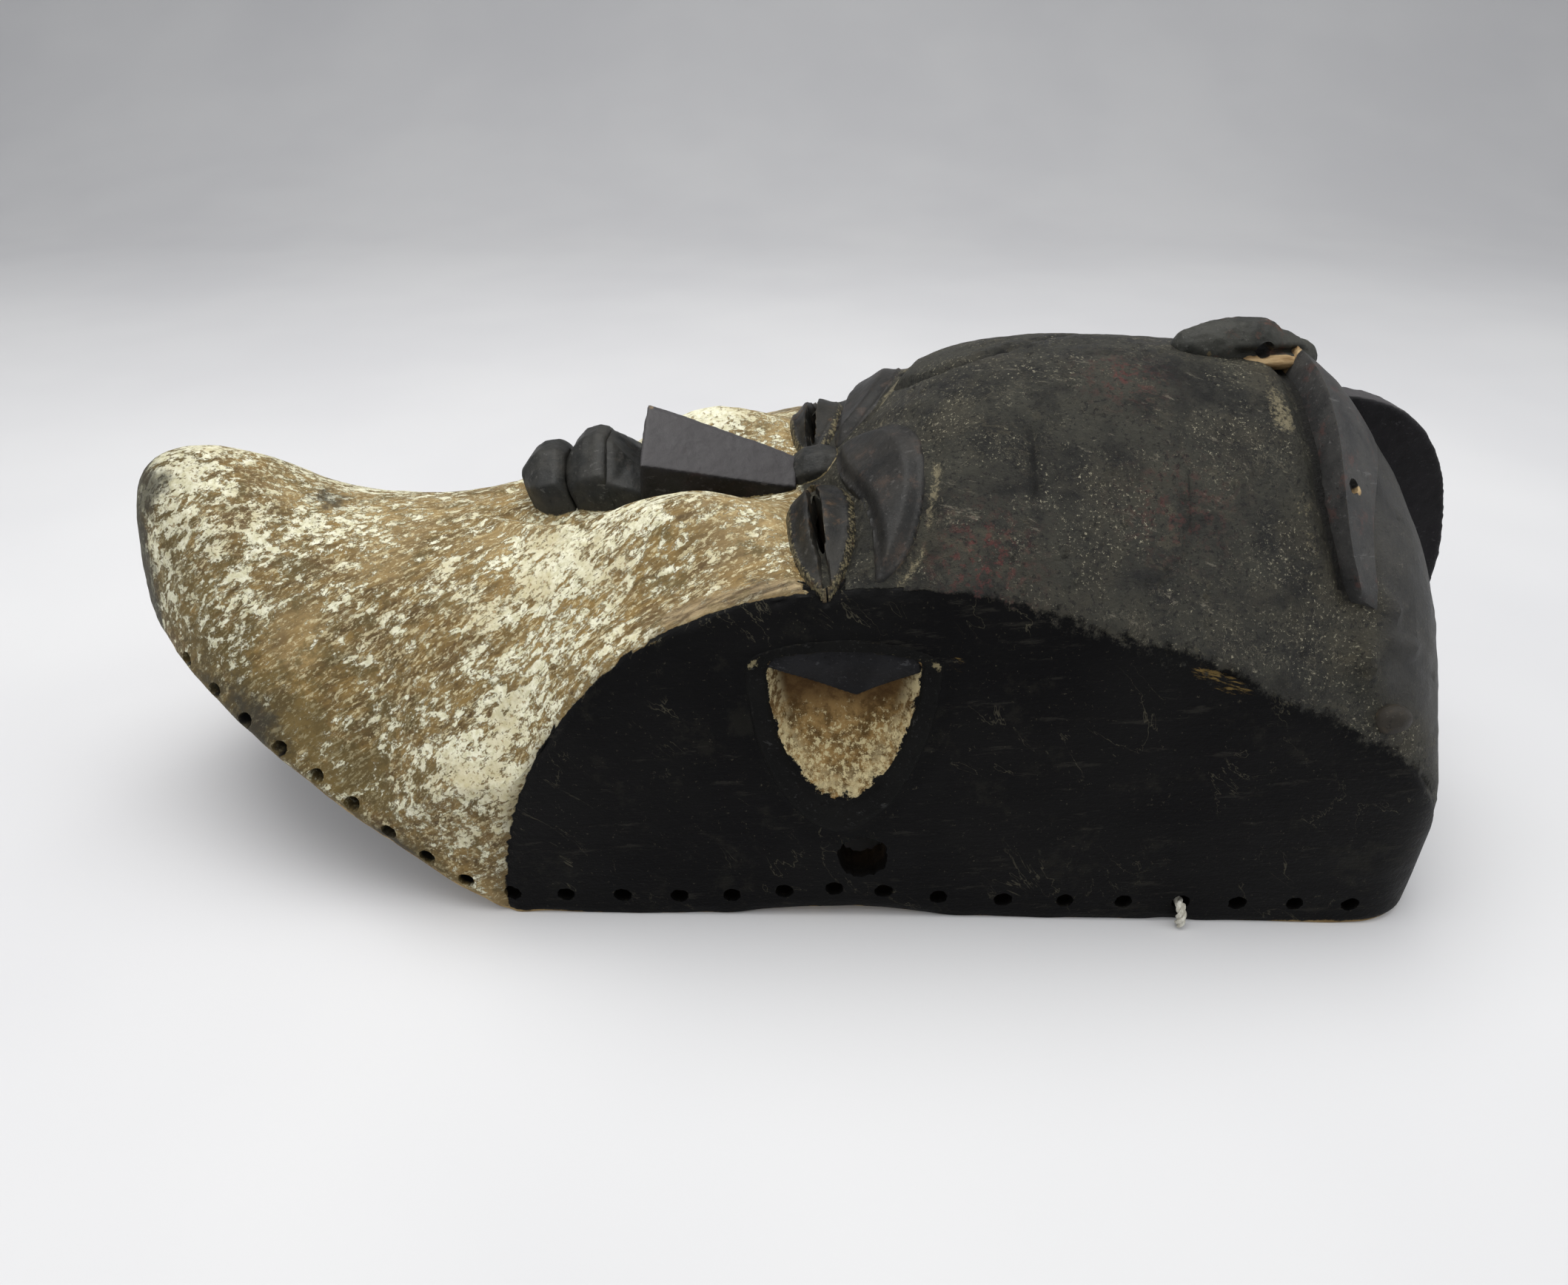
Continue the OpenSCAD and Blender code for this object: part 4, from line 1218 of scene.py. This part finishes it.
def head_band():
    nx, ns = 34, 190
    s_end = 0.80
    u, s = np.meshgrid(np.linspace(0, 1, nx) ** 1.25, np.linspace(-1, 1, ns), indexing="ij")
    x = band_x(s * BAND_END) + (22 - 13 * smooth((np.abs(s) - 0.25) / 0.75)) * u
    p, n = skin_point(x, s * s_end)
    end = np.clip((1 - np.abs(s)) / 0.03, 0, 1)
    fall = (1 - 0.97 * u) ** 1.15 * (1 - 0.45 * smooth((np.abs(s) - 0.5) / 0.5))
    h = 5.9 * np.clip(u / 0.02, 0, 1) ** 0.5 * fall * np.sqrt(smooth(end))
    q = np.stack([x, p[..., 1], p[..., 2]], -1)
    h = h + (0.3 * fbm(q, 18, 3, 151) + 0.1 * fbm(q, 4, 2, 153)) * smooth((h - 1) / 2) - 2.2 * (h < 0.01)
    obj = sheet("band_carved", p + n * h[..., None], p - n * 4.0, np.full(h.shape, True))
    fix_normals(obj)
    # blind peg hole on the left temple, about square to the band
    rng = np.random.default_rng(3)
    at = np.array((140.0, -45.0))
    c, axis = np.array((*at, float(face_z(*at[:, None])[0]) + 5.2)), np.array((0.29, -0.70, 0.65))
    axis /= np.linalg.norm(axis)
    u = np.cross(axis, (0, 0, 1.0))
    u /= np.linalg.norm(u)
    turn = 2 * np.pi * np.arange(20)[:, None] / 20
    spoke = u * np.cos(turn) + np.cross(u, axis) * np.sin(turn)
    cut_away(obj, "peg_hole", [loft([c + axis * out + spoke * r * rng.uniform(0.93, 1.07, (20, 1))
                                     for out, r in ((8, 2.2), (1.5, 2.1), (-2.4, 1.9))])])
    shade(obj, 40)
    return obj, c


band, peg = head_band()
band_at = carve_points(band)
attribute(band, "bare", 0.9 * np.exp(-(((band_at - peg - np.array((1.6, 1.0, -1.8))) ** 2).sum(1)) / 1.6 ** 2)
          + 0.7 * bell(band_at[:, 0] - 135, 2.5) * smooth((8.5 - np.abs(band_at[:, 1])) / 2))
attribute(band, "dust", 0.3 * smooth((104 - band_at[:, 2]) / 6))
band_paint = stained("band_stain", (46, 46, 46), (68, 67, 65), (0.42, 0.54), 0.2, (112, 104, 84),
                     (92, 62, 56), seed=0.41)
finish_piece(band, band_paint, "grey_wood", "head_band")


# ---------------------------------------------------------------- topknot and crest: voxel-sculpted; temple knob: a roughened ball
def ball(center, radius, scale=(1, 1, 1)):
    bm = bmesh.new()
    bmesh.ops.create_icosphere(bm, subdivisions=3, radius=1.0)
    v = np.array([w.co[:] for w in bm.verts]) * radius * np.array(scale) + np.array(center)
    f = [[w.index for w in face.verts] for face in bm.faces]
    bm.free()
    return v, f


knot_parts = []
for i in range(0, 18, 2):
    bun_r = 6.2 + 1.9 * math.sin(min(1, i / 12) * math.pi / 2)
    knot_parts.append(ball((109.5 + i, 0, 143.2 + 0.9 * math.sin(i / 25 * math.pi)), bun_r, (1, 0.98, 1)))
knot_parts += [ball((126 + 1.5 * i, 0, 143.6 - 0.42 * i), 7.4 - 0.12 * i, (1, 1.0, 0.98))
               for i in range(0, 10, 2)]
knot_parts += [ball((129, side * 7.0, 141.6), 1.0, (10.5, 4.6, 2.3)) for side in (-1, 1)]
knot = joined("topknot_carved", knot_parts)
voxel_smooth(knot, 0.6, 4)
knot_at = carve_points(knot)
# a notch low on both sides, where the pierced hole opens
aside = np.abs(knot_at[:, 1])
notch = smooth((knot_at[:, 0] - 116) / 5) * smooth((146.5 - knot_at[:, 2]) / 3) * smooth((aside - 1.5) / 3)
knot_at[:, 1] -= np.sign(knot_at[:, 1]) * 3.2 * notch * smooth((141 - knot_at[:, 0]) / 6)
set_points(knot, knot_at)
roughen(knot, 0.45, 0.16, 161, 11)
turn = 2 * np.pi * np.arange(20) / 20
hole_rings = []
for y, r in ((-14.0, 3.0), (-6.0, 2.3), (6.0, 2.2), (14.0, 2.6)):
    hole_rings.append(np.stack([126.5 + r * np.cos(turn), np.full(20, y), 145 + r * np.sin(turn)], 1))
cut_away(knot, "pierced_hole", [loft(hole_rings)])
shade(knot, 50)
knot_at = carve_points(knot)
knot_at[:, 2] = np.minimum(knot_at[:, 2], 151.6)
set_points(knot, knot_at)
attribute(knot, "bare", 0.9 * smooth((knot_at[:, 0] - 118) / 3) * smooth((144.4 - knot_at[:, 2]) / 1.2)
          * smooth((np.abs(knot_at[:, 1]) - 5.6) / 1.2))
knot_paint = stained("topknot_stain", (36, 37, 34), (60, 60, 55), (0.46, 0.6), 0.4, (120, 104, 70),
                     (96, 58, 44), seed=0.67)
finish_piece(knot, knot_paint, "grey_wood", "topknot")


# the CAD fin's arc, 0.1 mm inside it
CREST_X, CREST_Z, CREST_LONG, CREST_HIGH = 150, 64, 47.4, 67.9


def crest():
    bulge = lambda v: math.copysign(abs(v) ** (2 / 2.3), v)
    outline = [(143, 96), (143, 131.5), (CREST_X, CREST_Z + CREST_HIGH)]
    for a in np.radians(np.arange(84, -37, -6)):
        outline.append((CREST_X + CREST_LONG * bulge(math.cos(a)), CREST_Z + CREST_HIGH * bulge(math.sin(a))))
    outline += [(180, 20), (165, 56)]
    obj = new_object("crest_carved", *loft([[(x, y, z) for x, z in outline] for y in (-6.0, 6.0)]))
    fix_normals(obj)
    voxel_smooth(obj, 0.9, 6)
    p = carve_points(obj)
    # the plate thins a little toward its free edge
    r = np.hypot((p[:, 0] - CREST_X) / CREST_LONG, (p[:, 2] - CREST_Z) / CREST_HIGH)
    p[:, 1] *= 1 - 0.16 * smooth((r - 0.6) / 0.4)
    set_points(obj, p)
    roughen(obj, 0.35, 0.1, 171, 16)
    p = carve_points(obj)
    p[:, 0] = np.minimum(p[:, 0], CREST_X + CREST_LONG)
    set_points(obj, p)
    shade(obj, 55)
    return obj


fin = crest()
fin_at = carve_points(fin)
crest_paint = stained("crest_stain", (13, 12, 14), (24, 22, 25), (0.42, 0.56), 0.4, (76, 72, 66),
                      seed=0.83, sheen=0.14)
# painted light on the crest's upper edge faces, from their normals
attribute(fin, "painted_top_light", smooth((0.75 - np.abs(normals(fin)[:, 1])) / 0.5) * smooth((fin_at[:, 2] - 96) / 14))
finish_piece(fin, crest_paint, "black_wood", "crest_fin")

boss_v, boss_f = ball((153, -72.5, 69), 4.15, (1.1, 0.85, 1.0))
boss = new_object("temple_knob_carved", boss_v, boss_f)
roughen(boss, 0.3, 0.12, 181, 5)
shade(boss, 60)
knob_paint = stained("knob_stain", (30, 29, 27), (52, 48, 42), (0.5, 0.62), 0.5, seed=0.97)
finish_piece(boss, knob_paint, "black_wood", "left_temple_knob")


# ---------------------------------------------------------------- the stub of twisted cord
def cord_stub():
    x0, z0, bend = lace_x(12), 6.5, 2.2
    route = [(x0, y, z0) for y in np.linspace(-64, -78, 12)]
    route += [(x0, -78 - bend * math.sin(t), z0 - bend * (1 - math.cos(t)))
              for t in np.linspace(0.15, math.pi / 2, 9)]
    route += [(x0 + 0.25 * t, -78 - bend, z0 - bend - t * 3.75) for t in np.linspace(0.12, 1, 12)]
    route = np.array(route)
    tang = np.gradient(route, axis=0)
    tang /= np.linalg.norm(tang, axis=1, keepdims=True)
    side = np.array((1.0, 0, 0))
    up = np.cross(tang, side)
    length = np.append(0, np.cumsum(np.linalg.norm(np.diff(route, axis=0), axis=1)))
    strands = []
    turn = 2 * np.pi * np.arange(10)[:, None] / 10
    for strand in range(3):
        rings = []
        for i, p in enumerate(route):
            a = 2 * math.pi * (strand / 3 + length[i] / 7.0)
            c = p + (side * math.cos(a) + up[i] * math.sin(a)) * 0.68
            fray = 0.55 + 0.45 * min(1, (length[-1] - length[i]) / 0.9)
            rings.append(c + (side * np.cos(turn) + up[i] * np.sin(turn)) * 0.78 * fray)
        strands.append(loft(rings))
    return joined("cord_stub", strands)


stub = cord_stub()
fix_normals(stub)
shade(stub, 60)
finish_piece(stub, cord_material(), "cotton_cord", "lacing_stub")

# ---------------------------------------------------------------- stage, light and camera
def stage():
    """A pale floor that curves up into a wall behind the mask, in metres."""
    profile = [(-3.0, 0.0), (0.9, 0.0)]
    for t in np.linspace(0.05, math.pi / 2, 48):
        profile.append((0.9 + 0.9 * math.sin(t), 0.9 * (1 - math.cos(t))))
    profile += [(1.8, 2.6)]
    verts = [(x, y, z - 0.0002) for x in (-4.0, 4.0) for y, z in profile]
    m = len(profile)
    faces = [(k, k + 1, m + k + 1, m + k) for k in range(m - 1)]
    mesh = bpy.data.meshes.new("backdrop")
    mesh.from_pydata(verts, [], faces)
    for f in mesh.polygons:
        f.use_smooth = True
    obj = bpy.data.objects.new("backdrop", mesh)
    scene.collection.objects.link(obj)
    p = Paint("backdrop_cloth")
    color = p.mix(p.patches(0.3, 0.7, 3, 3), lin(208, 208, 210), lin(215, 215, 216))
    obj.data.materials.append(p.done(color, 0.85, p.bump(p.noise(500, 2), 0.0001, 0.2), 0.2))


def area(name, place, target, size, power, color=(1, 1, 1)):
    light = bpy.data.lights.new(name, "AREA")
    light.shape, light.size, light.size_y = "RECTANGLE", size[0], size[1]
    light.energy, light.color = power, color
    obj = bpy.data.objects.new(name, light)
    obj.location = place
    obj.rotation_euler = (Vector(target) - Vector(place)).to_track_quat("-Z", "Y").to_euler()
    scene.collection.objects.link(obj)


stage()
area("top_tent", (-0.05, 0.1, 1.0), (0, 0, 0.05), (0.9, 0.8), 8.5, (1.0, 0.99, 0.97))
area("left_tent", (-0.9, -0.25, 0.55), (0, 0, 0.06), (0.7, 0.6), 1.8)
area("right_tent", (0.95, -0.2, 0.5), (0.05, 0, 0.06), (0.7, 0.6), 2.0, (0.96, 0.98, 1.0))
area("front_fill", (0.1, -1.1, 0.7), (0, 0, 0.05), (1.0, 0.6), 0.7)
world = bpy.data.worlds.new("tent")
scene.world = world
world.use_nodes = True
world.node_tree.nodes["Background"].inputs[0].default_value = (0.95, 0.96, 0.98, 1)
up = world.node_tree.nodes.new("ShaderNodeSeparateXYZ")
world.node_tree.links.new(world.node_tree.nodes.new("ShaderNodeTexCoord").outputs["Generated"], up.inputs[0])
ramp = world.node_tree.nodes.new("ShaderNodeMapRange")
world.node_tree.links.new(up.outputs[2], ramp.inputs[0])
for k, v in ((1, 0.0), (2, 0.9), (3, 0.16), (4, 0.75)):
    ramp.inputs[k].default_value = v
world.node_tree.links.new(ramp.outputs[0], world.node_tree.nodes["Background"].inputs[1])
scene.view_settings.view_transform = "Standard"

camera = bpy.data.cameras.new("camera")
camera.sensor_width = 36.0
camera.lens = 36.0 * 1343 / 2118
camera.clip_start = 0.01
eye = bpy.data.objects.new("camera", camera)
eye.location = (MIDDLE * MM, -0.281, 0.222)
eye.rotation_euler = (math.radians(57.8), 0, math.radians(1.0))
scene.collection.objects.link(eye)
scene.camera = eye
